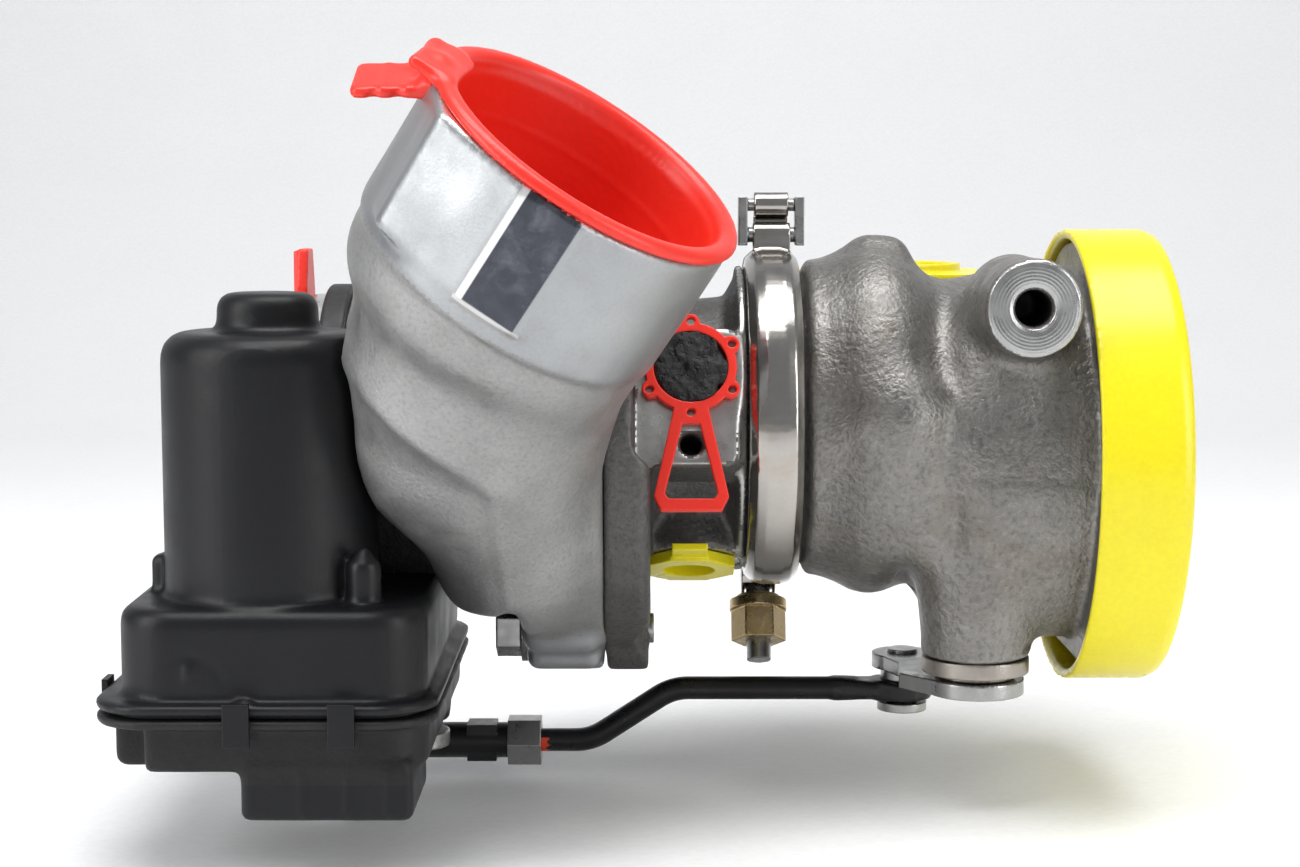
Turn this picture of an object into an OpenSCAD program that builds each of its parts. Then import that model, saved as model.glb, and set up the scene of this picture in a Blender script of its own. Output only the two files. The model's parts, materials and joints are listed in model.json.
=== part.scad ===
// Turbocharger with an electric wastegate actuator, shown with its transport caps fitted.
// Frame: X runs along the rotor axis from the compressor (-X) to the turbine (+X),
// Z is up, and the origin is on the rotor axis at the joint face of the compressor housing.

/* [Rotor] */
// Radius of the compressor wheel at its back disc
comp_wheel_r = 24; // [22:0.5:24.4]
// Radius of the turbine wheel
turb_wheel_r = 19; // [17:0.5:19.2]
// Number of compressor blades (full blades and splitters)
comp_blades = 12; // [8:1:14]
// Number of turbine blades
turb_blades = 9; // [7:1:11]
// Radius of the shaft journals
journal_r = 4; // [3.9:0.01:4]
// Running clearance of the journals, on radius
journal_gap = 0.03; // [0.02:0.01:0.08]

/* [Compressor housing] */
// Outer radius of the inlet spigot
inlet_r = 24.4; // [23.8:0.1:24.8]
// Bore radius of the outlet
outlet_bore_r = 26.2; // [25.5:0.1:26.4]
// Outside radius of the outlet stub
outlet_r = 28.8; // [28.4:0.1:29.4]

/* [Turbine housing] */
// Outer radius of the outlet flange
out_flange_r = 42.4; // [41:0.1:42.5]
// Radius of the outlet socket bore
out_bore_r = 34.5; // [34:0.1:35.5]
// Hole spacing of the inlet flange
inlet_pitch = 35; // [34.5:0.5:37]
// Radius of the inlet flange holes
inlet_hole_r = 4.25; // [3.4:0.05:4.4]
// Core radius of the threaded sensor boss
boss_core_r = 3.4; // [3.2:0.05:3.6]

/* [Clamp band] */
// Outer radius of the clamp band
band_r = 33.5; // [33.2:0.1:34.5]

/* [Actuator linkage] */
// Arm of the wastegate lever and of the output crank along X, towards the actuator
arm_x = 11.4; // [10.5:0.1:12]
// The same arm along Y
arm_y = 24; // [23:0.1:25]
// Radial clearance of the open pivot between rod and lever pin
pivot_gap = 0.08; // [0.05:0.01:0.15]
// Radius of the control rod
rod_r = 2.4; // [2:0.1:2.6]
// Teeth of the motor pinion
pinion_teeth = 10; // [10:1:12]
// Teeth of the large idler wheel
idler_teeth = 36; // [34:1:36]
// Teeth of the small idler pinion
idler_pinion_teeth = 12; // [12:1:14]
// Teeth of the full circle of the output sector
sector_teeth = 44; // [42:1:44]
// Tooth backlash, measured on the pitch circle
backlash = 0.16; // [0.1:0.02:0.3]

/* [Hidden] */
$fn = 48;

// Compressor outlet: centre of its mouth, tilted 33.7 degrees to +X and 17.6 degrees to -Y
outlet_at = [-2.2, -69, 50.2];
outlet_tilt = [17.6, 33.7, 0];
// Oil inlet, 22 degrees above -Y, and oil drain at right angles to it;
// the distances run from the rotor axis to the port faces
port_tilt = 22;
port_x = 16.2;
oil_inlet_dist = 31;
drain_dist = 29.4;
oil_inlet_bore_r = 7;
drain_bore_r = 6.5;
// Turbine outlet axis, below the rotor axis
turb_outlet_z = -7.5;
// Turbine inlet: centres of the flange and of its port, [x, y]
flange_at = [60.5, 43];
port_at = [59.5, 41.5];

// Vertical axes, [x, y]: wastegate spindle, lever pin, crank pin, output shaft, motor
spindle_at = [71.4, -20];
lever_pin_at = [spindle_at[0]-arm_x, spindle_at[1]+arm_y];
crank_pin_at = [-48, lever_pin_at[1]];
output_at = [crank_pin_at[0]+arm_x, crank_pin_at[1]-arm_y];
motor_at = [-59.6, -47];
arm_length = norm([arm_x, arm_y]);
arm_angle = atan2(arm_y, -arm_x);
// Radii of the vertical pins and shafts
spindle_r = 3.5;
pin_r = 3;
motor_shaft_r = 1.5;
motor_shell_r = 19;
// Heights of the rod's two straight runs, at the crank and at the lever
rod_low_z = -66.9;
rod_high_z = -56.1;

// Gear modules and centre distances; the idler axis is where the two distances meet
motor_mod = 0.7;
sector_mod = 0.8;
motor_centres = motor_mod*(pinion_teeth+idler_teeth)/2;
sector_centres = sector_mod*(idler_pinion_teeth+sector_teeth)/2;
to_motor = motor_at-output_at;
motor_dist = norm(to_motor);
idler_along = (pow(sector_centres, 2)-pow(motor_centres, 2)+pow(motor_dist, 2))/(2*motor_dist);
idler_across = sqrt(pow(sector_centres, 2)-pow(idler_along, 2));
idler_at = output_at + idler_along*to_motor/motor_dist
  + idler_across*[to_motor[1], -to_motor[0]]/motor_dist;

// Bolts of the compressor housing: angles from +Y towards +Z, circle radius, sizes
bolt_angles = [262, 334, 46, 118];
bolt_circle_r = 42.2;
bolt_r = 3;
bolt_boss_r = 8.2;
bolt_seat_x = -15.02;
bolt_head_x = -16.8;

// Rotor fits
shaft_end_r = 2.5;
wheel_bore_r = shaft_end_r+0.02;
bearing_r = 6.5;
seal_land_r = 5.5;
seal_groove_r = 4.65;
seal_groove_w = 1.2;
seal_grooves_x = [27.5, 30.1];
locating_pin_r = 1.5;

// ---------------------------------------------------------------- helpers
// local x, y, z become Y, Z, X
module along_x() { rotate([90, 0, 90]) children(); }
// solid of revolution about X, points are [radius, x]
module revolve(points) { along_x() rotate_extrude() polygon(points); }
// cylinder on the X axis
module cyl_x(radius, x0, x1) {
  translate([x0, 0, 0]) rotate([0, 90, 0]) cylinder(r=radius, h=x1-x0);
}
// cylinders starting at a point and running towards +X or +Y
module bar_x(start, radius, length) {
  translate(start) rotate([0, 90, 0]) cylinder(r=radius, h=length);
}
module bar_y(start, radius, length) {
  translate(start) rotate([-90, 0, 0]) cylinder(r=radius, h=length);
}
// upright cylinder whose foot is at [x, y] and z
module post(point, z, radius, height) { place(point, z) cylinder(r=radius, h=height); }
module place(point, z=0) { translate([point[0], point[1], z]) children(); }
module lift(z) { translate([0, 0, z]) children(); }
module tube(inner_r, outer_r, x0, x1) {
  along_x() lift(x0) rotate_extrude() translate([inner_r, 0]) square([outer_r-inner_r, x1-x0]);
}
module torus(centre_r, section_r, x) {
  along_x() lift(x) rotate_extrude() translate([centre_r, 0]) circle(r=section_r);
}
// run of ring-shaped ducts, [from angle, to angle, centre radius, section radius, x],
// with angles from +Y towards +Z
module ducts(segments) {
  for (s=segments) along_x() lift(s[4]) rotate([0, 0, s[0]])
    rotate_extrude(angle=s[1]-s[0]) translate([s[2], 0]) circle(r=s[3]);
}
module rounded2d(x0, y0, x1, y1, corner) {
  translate([x0+corner, y0]) square([x1-x0-2*corner, y1-y0]);
  translate([x0, y0+corner]) square([x1-x0, y1-y0-2*corner]);
  for (x=[x0+corner, x1-corner], y=[y0+corner, y1-corner]) translate([x, y]) circle(r=corner);
}
module slab(x0, y0, x1, y1, corner, z0, z1) {
  lift(z0) linear_extrude(z1-z0) rounded2d(x0, y0, x1, y1, corner);
}
// square plate around the turbine inlet flange centre
module flange_slab(half, z0, z1) {
  slab(flange_at[0]-half, flange_at[1]-half, flange_at[0]+half, flange_at[1]+half, 6, z0, z1);
}
module at_bolts() {
  for (a=bolt_angles) translate([0, bolt_circle_r*cos(a), bolt_circle_r*sin(a)]) children();
}
module at_outlet() { translate(outlet_at) rotate(outlet_tilt) children(); }
// port frame: local z points out of the port; at the oil inlet local y points up along the pad
module at_port(tilt, distance) { translate([port_x, 0, 0]) rotate([tilt, 0, 0]) lift(distance) children(); }
module at_oil() { at_port(90-port_tilt, oil_inlet_dist) children(); }
module at_drain() { at_port(180-port_tilt, drain_dist) children(); }
module at_locating_pin() { translate([0, -24.8, -35.4]) children(); }
module at_flap() { translate([0, -2, -28.6]) children(); }
module at_turbine_outlet() { lift(turb_outlet_z) children(); }
// screws of the actuator bracket
module at_screws(z) { for (y=[-12, 2]) translate([-37, y, z]) children(); }

function polar(radius, angle) = [radius*cos(angle), radius*sin(angle)];
function heading(from, to) = atan2(to[1]-from[1], to[0]-from[0]);

// Involute gear: addendum 0.95 and root 1.2 times the module
pressure_angle = 20;
function involute(angle) = tan(angle)*180/PI - angle;
function flank(pitch_mod, teeth, step, steps, side) =
  let(pitch_r=pitch_mod*teeth/2,
      base_r=pitch_r*cos(pressure_angle),
      start_r=max(base_r, pitch_r-1.15*pitch_mod),
      radius=start_r+(pitch_r+0.95*pitch_mod-start_r)*step/steps,
      half=90/teeth-backlash/(pitch_mod*teeth)*180/PI/2+involute(pressure_angle))
  polar(radius, side*(half-involute(acos(min(1, base_r/radius)))));
// last = -1 stands for the whole circle of teeth
module gear2d(pitch_mod, teeth, first=0, last=-1) {
  last_tooth = last < 0 ? teeth-1 : last;
  root_r = pitch_mod*teeth/2-1.2*pitch_mod;
  circle(r=root_r, $fn=96);
  for (k=[first:last_tooth]) rotate(k*360/teeth) polygon(concat(
    [[root_r*0.8, -pitch_mod*0.55]],
    [for (i=[0:6]) flank(pitch_mod, teeth, i, 6, -1)],
    [for (i=[6:-1:0]) flank(pitch_mod, teeth, i, 6, 1)],
    [[root_r*0.8, pitch_mod*0.55]]));
}

// Wheel blade seen along X: its angle grows with the square of the step up to sweep;
// its angular width is root_width for the first two steps, then width less taper per step
function blade(steps, inner_r, span, sweep, root_width, width, taper) = concat(
  [for (i=[0:steps]) polar(inner_r+span*i/steps, sweep*i*i/(steps*steps))],
  [for (i=[steps:-1:0]) polar(inner_r+span*i/steps,
    sweep*i*i/(steps*steps)+(i<2 ? root_width : width-taper*i))]);
module blades(count, x0, length, outline) {
  along_x() lift(x0) linear_extrude(length)
    for (k=[0:count-1]) rotate(k*360/count) polygon(outline);
}

// ---------------------------------------------------------------- compressor side
// outside of the scroll and, inside the bolt circle, its passage:
// [from angle, to angle, centre radius, section radius, x]
scroll_segments = [
  [62, 150, 31, 8.6, -11.6],
  [-24, 64, 31.4, 9, -11.8],
  [-118, -22, 31.8, 9.4, -11],
  [-144, -116, 36.6, 12.3, -13.7],
  [-178, -142, 42, 13.2, -16.7]];
passage_segments = [
  [62, 148, 30.2, 4.4, -11.2],
  [-24, 63, 30.3, 4.8, -11.3],
  [-120, -23, 30.4, 5, -11.4],
  [-142, -119, 34.5, 7.8, -13.5],
  [-179, -141, 40, 10.8, -17.1]];
seal_seat_r = 23.9;
inlet_bore_r = 21;
// [radius, x]
inlet_outline = [
  [0, -58.6], [inlet_r-0.6, -58.6], [inlet_r, -58], [inlet_r, -55], [seal_seat_r, -55],
  [seal_seat_r, -49.5], [25.5, -49.5], [25.5, -34], [28, -28], [33, -20], [40, -10], [0, -10]];
wheel_chamber = [
  [0, -61], [inlet_bore_r, -61], [inlet_bore_r, -55], [19.2, -50], [18.6, -38], [18.6, -22],
  [20.5, -14], [comp_wheel_r+0.6, -8.6], [36, -8.6], [36, -5.5], [38.05, -5.5], [38.05, 1],
  [0, 1]];

module compressor_housing() color([0.74, 0.74, 0.73]) difference() {
  union() {
    revolve([[0, -14], [46, -14], [46, 0], [0, 0]]);
    revolve(inlet_outline);
    ducts(scroll_segments);
    // swelling and stub that lead to the outlet
    translate([-24.6, -46.4, 3]) sphere(r=20.3);
    at_outlet() translate([3.2, 1.5, -52]) cylinder(r=21.2, h=38);
    at_outlet() intersection() {
      lift(-29) cylinder(r=outlet_r, h=29);
      translate([-26.6, -27.6, -40]) cube([56.6, 57, 41]);
    }
    // bolt bosses and the webs behind them
    at_bolts() cyl_x(bolt_boss_r, -15, -0.5);
    for (a=bolt_angles) rotate([a, 0, 0])
      translate([-14.6, 30, -7.7]) cube([13.9, bolt_circle_r-30, 15.4]);
    // pad of the actuator bracket
    translate([-45.5, -23, -26]) cube([17, 30, 12]);
  }
  // joint face, bracket pad and the room left for the actuator motor
  cyl_x(49, -0.02, 14);
  translate([-48, -40, -34]) cube([19.9, 60, 9.5]);
  post(motor_at, -40, motor_shell_r+0.6, 60.7);
  // inlet bore, inducer and wheel chamber
  revolve(wheel_chamber);
  // scroll passage and its way out
  ducts(passage_segments);
  translate([-22.5, -47.5, 3.2]) sphere(r=14.6);
  at_outlet() translate([5.5, 1.3, -50]) cylinder(r=15, h=40);
  at_outlet() lift(-24) cylinder(r=outlet_bore_r, h=26);
  // bolt holes and pockets for the bolt heads
  at_bolts() cyl_x(bolt_r+0.3, -16, 1);
  at_bolts() cyl_x(6.9, -40, bolt_seat_x);
  at_locating_pin() cyl_x(locating_pin_r+0.03, -3, 1);
  at_screws(-25) cylinder(r=2.6, h=4.6);
}
module compressor_bolts() color([0.45, 0.45, 0.47]) at_bolts() union() {
  cyl_x(5.77, bolt_head_x-5, bolt_head_x, $fn=6);
  cyl_x(bolt_r, -17, 9.4);
}
module bolt_clamp_plates() color([0.6, 0.6, 0.6]) at_bolts() difference() {
  cyl_x(6.6, bolt_head_x, bolt_seat_x);
  cyl_x(bolt_r+0.3, -18, -14);
}
module housing_o_ring() color([0.08, 0.08, 0.08]) torus(37.15, 0.85, -2.6);
// flat band with a raised middle and two round lips
module inlet_seal_ring() color([0.07, 0.07, 0.07])
  along_x() rotate_extrude() translate([seal_seat_r+0.03, -54.8]) {
    square([1.6, 4.9]);
    translate([1.5, 0.9]) square([0.95, 3.1]);
    for (y=[0.85, 4.05]) translate([1.6, y]) circle(r=0.85);
  }
module locating_pin() color([0.6, 0.6, 0.6])
  at_locating_pin() cyl_x(locating_pin_r, -2.9, 3.9);

// hub and back disc, then the envelope of the blades, [radius, x]
comp_hub = [
  [0, -36], [6, -36], [6.6, -30], [8.2, -22], [12, -14], [18, -9.6], [comp_wheel_r, -8.4],
  [comp_wheel_r, -7.2], [8, -7.0], [0, -7.0]];
comp_blade_limit = [
  [0, -35], [18.2, -35], [18.2, -21], [20.1, -14], [comp_wheel_r, -9.2],
  [comp_wheel_r, -7.5], [0, -7.5]];
comp_blade = blade(steps=8, inner_r=3, span=21.2, sweep=26, root_width=12, width=3.4, taper=0.12);
module compressor_wheel() color([0.82, 0.82, 0.84]) difference() {
  union() {
    revolve(comp_hub);
    intersection() {
      revolve(comp_blade_limit);
      blades(comp_blades, -35, 27.5, comp_blade);
    }
  }
  cyl_x(wheel_bore_r, -37, -6);
}
module compressor_nut() color([0.7, 0.7, 0.7]) difference() {
  union() {
    cyl_x(4.6, -41, -37, $fn=6);
    cyl_x(4.9, -37.2, -36.03);
  }
  cyl_x(wheel_bore_r, -42, -36);
}
module thrust_collar() color([0.6, 0.6, 0.6]) difference() {
  cyl_x(5.5, -6.97, -0.55);
  cyl_x(wheel_bore_r, -8, 0);
}

// ---------------------------------------------------------------- bearing housing and shaft
seal_plate_r = 20;
thrust_bearing_r = 12;
module seal_plate() color([0.7, 0.68, 0.64]) difference() {
  cyl_x(seal_plate_r, -5.45, -0.45);
  cyl_x(5.58, -6, 0);
}
module thrust_bearing() color([0.8, 0.6, 0.3]) difference() {
  cyl_x(thrust_bearing_r, -0.35, 2.55);
  cyl_x(journal_r+0.08, -1, 3);
  // notch at the bottom
  translate([-1, -1.5, -13]) cube([4, 3, 6]);
}

// [radius, x]
bearing_outline = [
  [0, -5.5], [38, -5.5], [38, 0], [46, 0], [46, 7.2], [44.6, 8.6], [27, 8.6], [24.5, 11],
  [23.5, 16], [24, 23], [27.5, 25], [30.4, 25.4], [30.4, 26.6], [28.6, 27], [28.6, 28.2],
  [29, 29.6], [29.9, 32.3], [0, 32.3]];
// the two coolant ports, starting at y and running towards +Y
module coolant_ports(y, radius, length) {
  for (side=[-1, 1]) bar_y([port_x+1, y, side*12], radius, length);
}
module bearing_housing() color([0.36, 0.36, 0.36]) difference() {
  union() {
    revolve(bearing_outline);
    at_bolts() cyl_x(bolt_boss_r, 0.3, 8.2);
    at_oil() translate([0, -5.3, 0]) slab(-9.3, -13.6, 9.3, 13.6, 3, -12, 0);
    at_drain() lift(-12) cylinder(r=11, h=12);
    coolant_ports(18, 8.6, 13);
  }
  // O-ring groove
  along_x() lift(-3.7) rotate_extrude() translate([36.25, 0]) square([3, 2.2]);
  // room for the oil inlet flange and for the drain cap
  at_oil() translate([0, -5.3, -0.02]) slab(-10.8, -15.4, 10.8, 15.6, 4, 0, 22);
  at_drain() lift(-0.02) cylinder(r=10.3, h=24);
  // seats of the seal plate and thrust bearing, bearing bore, bore of the shaft seal
  cyl_x(seal_plate_r+0.05, -6, -0.4);
  cyl_x(thrust_bearing_r+0.05, -1, 2.6);
  cyl_x(bearing_r+0.03, 2, 25.6);
  cyl_x(seal_land_r+0.06, 25, 34);
  // oil gallery, drain and chamber around the spacer
  revolve([[0, 11], [13, 11], [13, 19], [0, 19]]);
  at_oil() lift(-26) cylinder(r=2, h=27);
  at_oil() lift(-9) cylinder(r=oil_inlet_bore_r, h=10);
  at_drain() lift(-24) cylinder(r=drain_bore_r, h=25);
  // small hole in the oil inlet pad
  at_oil() translate([0, -14.4, -10]) cylinder(r=2.1, h=11);
  // coolant jacket and its two ports
  along_x() lift(20.5) rotate_extrude() translate([15.5, 0]) square([4.5, 4]);
  coolant_ports(16, 5.1, 16);
  at_bolts() cyl_x(bolt_r+0.04, -1, 10);
  at_locating_pin() cyl_x(locating_pin_r+0.03, -1, 4.2);
}
module journal_bearings() color([0.82, 0.62, 0.3])
  for (x=[5, 20]) tube(journal_r+journal_gap, bearing_r, x, x+5);
module bearing_spacer() color([0.6, 0.6, 0.62]) difference() {
  tube(4.7, 6.2, 10.05, 19.95);
  translate([15, 0, 0]) cylinder(r=1.5, h=20, center=true);
}
module shaft_seal_rings() color([0.5, 0.5, 0.5]) for (x=seal_grooves_x)
  tube(seal_groove_r+0.07, seal_land_r+0.03, x+0.05, x+seal_groove_w-0.05);
module rotor_shaft() color([0.62, 0.62, 0.64]) revolve(concat(
  [[0, -42.5], [shaft_end_r-0.6, -42.5], [shaft_end_r, -41.9], [shaft_end_r, -0.5],
   [journal_r, -0.5], [journal_r, 26], [seal_land_r, 26]],
  [for (x=seal_grooves_x) each [
    [seal_land_r, x], [seal_groove_r, x],
    [seal_groove_r, x+seal_groove_w], [seal_land_r, x+seal_groove_w]]],
  [[seal_land_r, 34.4], [0, 34.4]]));

// ---------------------------------------------------------------- turbine side
// hub and back disc, then the envelope of the blades, [radius, x]
turb_hub = [
  [0, 35.42], [7, 35.42], [turb_wheel_r-4, 36.2], [turb_wheel_r-4, 37.2], [9, 40], [6, 46],
  [4.4, 52], [3.6, 57.5], [0, 57.5]];
turb_blade_limit = [
  [0, 36.4], [turb_wheel_r, 36.4], [turb_wheel_r, 43], [17.2, 48.6], [16.4, 50], [16.4, 56],
  [0, 56]];
turb_blade = blade(steps=6, inner_r=2.5, span=17, sweep=-16, root_width=14, width=4.6, taper=0.3);
// the stations lie 1 mm beyond the wheel's place, so it is moved back towards the compressor
module turbine_wheel() color([0.42, 0.38, 0.36]) translate([-1, 0, 0]) union() {
  revolve(turb_hub);
  cyl_x(3.4, 57.4, 59.8, $fn=6);
  intersection() {
    revolve(turb_blade_limit);
    blades(turb_blades, 36.4, 19.6, turb_blade);
  }
}
shield_r = 24.6;
module heat_shield() color([0.62, 0.6, 0.56]) difference() {
  union() {
    cyl_x(shield_r, 32.42, 33.2);
    cyl_x(12, 32.42, 33.9);
  }
  cyl_x(6.2, 32, 36);
  cyl_x(11.4, 32, 33.2);
}

// [radius, x]; the outlet body is centred on the turbine outlet axis
turbine_outline = [
  [0, 32.4], [29.9, 32.4], [29, 35.2], [28.6, 37], [28.6, 38.2], [31.4, 39.4], [31.8, 44],
  [31, 48], [32, 53], [30, 60], [27, 65], [0, 65]];
outlet_outline = [
  [0, 62], [27, 62], [33.5, 66.5], [36, 70], [36.5, 92], [out_flange_r, 92],
  [out_flange_r, 104.8], [out_flange_r-0.7, 105.5], [0, 105.5]];
turbine_chamber = [
  [0, 34], [25, 34.3], [turb_wheel_r+0.6, 36.2], [turb_wheel_r+0.6, 43.6], [17.6, 49.4],
  [17, 50.6], [17, 69], [0, 69]];
bushing_r = 6;
module turbine_housing() color([0.47, 0.46, 0.45]) difference() {
  union() {
    revolve(turbine_outline);
    torus(25.4, 10.2, 52);
    at_turbine_outlet() revolve(outlet_outline);
    // threaded boss
    bar_y([78, -42.5, 23.6], 8.9, 30);
    // wastegate bearing boss
    post(spindle_at, -44.4, 10.6, 22);
    // inlet leg and flange
    post(port_at, -6, 15.2, 26);
    translate([port_at[0]-1, port_at[1]-4, -6]) sphere(r=15);
    flange_slab(22.5, 18, 26);
    translate([51.5, 14, -12]) cube([17, 24, 31]);
  }
  // flat face of the inlet flange
  translate([30, 20.3, 25]) cube([60, 50, 20]);
  // seat of the heat shield, wheel chamber and exducer
  cyl_x(shield_r+0.4, 32, 34.2);
  revolve(turbine_chamber);
  torus(25.2, 6.4, 51);
  // outlet chamber and socket
  at_turbine_outlet() cyl_x(32.5, 68, 106);
  at_turbine_outlet() cyl_x(out_bore_r, 93.5, 106);
  // wastegate port, from the scroll into the outlet chamber
  at_flap() cyl_x(6.5, 50, 70);
  // inlet port and its way into the scroll
  post(port_at, 16, 13, 10);
  post(port_at, -4, 10.6, 22);
  translate([port_at[0]-2, port_at[1]-5, -6]) sphere(r=9.5);
  translate([53, 30, -6]) rotate([0, 0, -35]) rotate([-90, 0, 0]) cylinder(r=6.2, h=9);
  for (x=[-1, 1], y=[-1, 1]) post(flange_at+[x, y]*inlet_pitch/2, 10, inlet_hole_r, 20);
  // core hole of the threaded boss
  bar_y([78, -43, 23.6], boss_core_r, 17.5);
  post(spindle_at, -46, bushing_r+0.02, 30);
}

// ---------------------------------------------------------------- wastegate
module wastegate_bushing() color([0.72, 0.7, 0.66]) difference() {
  union() {
    post(spindle_at, -47.4, 10.3, 2.98);
    post(spindle_at, -48.4, 7.8, 1.2);
    post(spindle_at, -46, bushing_r, 12.6);
  }
  post(spindle_at, -50, spindle_r+0.05, 20);
}
flap_stem_r = 2.6;
// swing arm and spindle in one forging
module wastegate_spindle() color([0.5, 0.48, 0.46]) difference() {
  union() {
    post(spindle_at, -52.4, spindle_r, 29.9);
    post(spindle_at, -33.2, 5.6, 10.7);
    translate([71.3, spindle_at[1], -32.4]) cube([4.2, 18, 7.6]);
    at_flap() cyl_x(5.4, 71.3, 75.5);
  }
  at_flap() cyl_x(flap_stem_r+0.02, 70, 78);
}
module wastegate_flap() color([0.55, 0.53, 0.5]) at_flap() union() {
  cyl_x(9.2, 68.05, 71.2);
  cyl_x(flap_stem_r, 70, 77.4);
  cyl_x(6.1, 66.6, 68.1);
}
module flap_washer() color([0.6, 0.58, 0.55]) at_flap() difference() {
  cyl_x(4.6, 75.6, 77);
  cyl_x(flap_stem_r+0.02, 75, 78);
}
// [along the arm, across it]
lever_outline = [
  [-1, -9], [8, -9.6], [17.5, -5.9], [26.6, -5.6], [26.6, 5.6], [17.5, 6.4], [9, 11.6], [-1, 9]];
module lever2d() {
  translate(spindle_at) circle(r=9.4);
  translate(lever_pin_at) circle(r=6.2);
  translate(spindle_at) rotate(arm_angle) polygon(lever_outline);
}
module wastegate_lever() color([0.66, 0.65, 0.63]) difference() {
  lift(-51.6) linear_extrude(3) lever2d();
  post(spindle_at, -53, spindle_r+0.02, 6);
  post(lever_pin_at, -53, pin_r+0.02, 6);
}
module lever_pin() color([0.5, 0.5, 0.5]) place(lever_pin_at) union() {
  lift(-60.2) cylinder(r=pin_r, h=12.4);
  lift(-60.4) cylinder(r=5, h=1.8);
  lift(-54) cylinder(r=4.4, h=2.3);
}

// ---------------------------------------------------------------- clamp band
// channel section, [radius, x], drawn for an outer radius of 33.5
band_section_r = 33.5;
band_section = [
  [29.6, 26.9], [31.6, 27.3], [33, 28.8], [33.5, 30.6], [33.5, 34.2], [33, 36], [31.6, 37.5],
  [29.6, 37.9], [29.4, 37.2], [31.0, 36.6], [31.9, 35.5], [32.1, 33.8], [32.1, 31],
  [31.9, 29.3], [31.0, 28.2], [29.4, 27.6]];
band_shift = band_r-band_section_r;
// tension bolt: its axis in the tilted tail frame, thread radius, trunnion height and radius
t_bolt_at = [31.4, 37.4];
t_bolt_r = 2.55;
trunnion_z = -22.2;
trunnion_r = 3.38;
module band(from, to) {
  along_x() rotate([0, 0, from]) rotate_extrude(angle=to-from)
    polygon([for (p=band_section) [p[0]+band_shift, p[1]]]);
}
// strap loop around a bar that runs along X
module strap_loop(start, bore_r, length) {
  translate(start) rotate([0, 90, 0]) difference() {
    cylinder(r=2.5, h=length);
    lift(-1) cylinder(r=bore_r, h=10);
  }
}
// frame of the tension bolt on the +Y side; the bolt runs along local z
module at_tail() { rotate([-25, 0, 0]) translate([0, band_shift, 0]) children(); }
module vband_front() color([0.7, 0.7, 0.7]) union() {
  band(92, 326);
  // strap end with its loop, standing up at the top
  translate([28.9, -1.8, 32.3]) cube([7.4, 0.9, 3.8]);
  strap_loop([28.9, 0.7, 36.1], 1.55, 7.4);
  // tangential tail below the band, with the trunnion loop
  at_tail() difference() {
    union() {
      translate([28.1, 32.3, trunnion_z]) cube([6.6, 1.4, 18.7]);
      bar_x([27.8, t_bolt_at[1], trunnion_z], 4.9, 7.2);
    }
    bar_x([26, t_bolt_at[1], trunnion_z], trunnion_r+0.04, 11);
    translate([28.5, 33.8, -40]) cube([5.8, 12, 40]);
    translate([27, 38.2, -29]) cube([9, 12, 17]);
  }
}
module vband_rear() color([0.7, 0.7, 0.7]) union() {
  band(-20, 88);
  // tall strap end with its loop above the ring
  translate([29.2, 3.3, 31.8]) cube([6.8, 1.1, 10]);
  strap_loop([29.2, 1.9, 42], 1.3, 6.8);
  // loop that holds the head of the tension bolt
  at_tail() translate([0, 33.2, 5]) difference() {
    translate([27.9, -1.7, 0]) cube([7, 10.1, 8]);
    translate([26, 1.6, 1.6]) cube([11, 5.2, 4.8]);
    translate([29.7, 1.9, -1]) cube([3.4, 4.6, 4]);
  }
}
// rectangular ring: round bars through the two loops, joined by flat cheeks
module vband_link() color([0.5, 0.5, 0.5]) union() {
  bar_x([26.2, 0.7, 36.1], 1.5, 12.8);
  bar_x([26.2, 1.9, 42], 1.25, 12.8);
  for (x=[26.1, 37.3]) translate([x, -1, 34]) cube([1.8, 4.4, 9.6]);
}
module vband_trunnion() color([0.6, 0.6, 0.6])
  at_tail() translate([27.9, t_bolt_at[1], trunnion_z]) difference() {
    rotate([0, 90, 0]) cylinder(r=trunnion_r, h=7);
    translate([3.5, 0, -6]) cylinder(r=t_bolt_r+0.07, h=12);
  }
module vband_t_bolt() color([0.62, 0.62, 0.62]) at_tail() place(t_bolt_at) union() {
  lift(-41) cylinder(r=t_bolt_r, h=44);
  lift(3) cylinder(r=1.6, h=4);
  bar_x([-3.6, 0, 9], 2.1, 7.2);
  translate([-1.5, -1.5, 3]) cube([3, 3, 6]);
}
module vband_nut() color([0.72, 0.6, 0.36]) at_tail() place(t_bolt_at, -36.9) difference() {
  union() {
    cylinder(r=5.77, h=6.6, $fn=6);
    lift(6.6) cylinder(r=6, h=2.2);
    lift(8.8) cylinder(r=4.6, h=0.9);
  }
  lift(-1) cylinder(r=t_bolt_r+0.05, h=20);
}

// ---------------------------------------------------------------- transport caps and plugs
module compressor_outlet_plug() color([0.93, 0.2, 0.16]) difference() {
  union() {
    at_outlet() lift(0.05) cylinder(r=outlet_r+0.8, h=2.2);
    at_outlet() lift(-22) cylinder(r=outlet_bore_r-0.12, h=23);
    // pull tab beside the rim, with grip ribs under it
    translate([-40.9, -77.3, 60.4]) rotate([22, 0, 0]) {
      cube([12.4, 14, 1.8]);
      translate([9.4, 0.2, 0.2]) cube([2.9, 13.6, 6]);
      for (i=[0:1]) translate([0.2+i*4.9, 0.15, -1]) cube([3.4, 13.7, 1.6]);
    }
    at_outlet() translate([-32.6, -13, 0.05]) cube([9, 17, 2.2]);
  }
  at_outlet() lift(-20.6) cylinder(r=outlet_bore_r-1.3, h=30);
}
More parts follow.
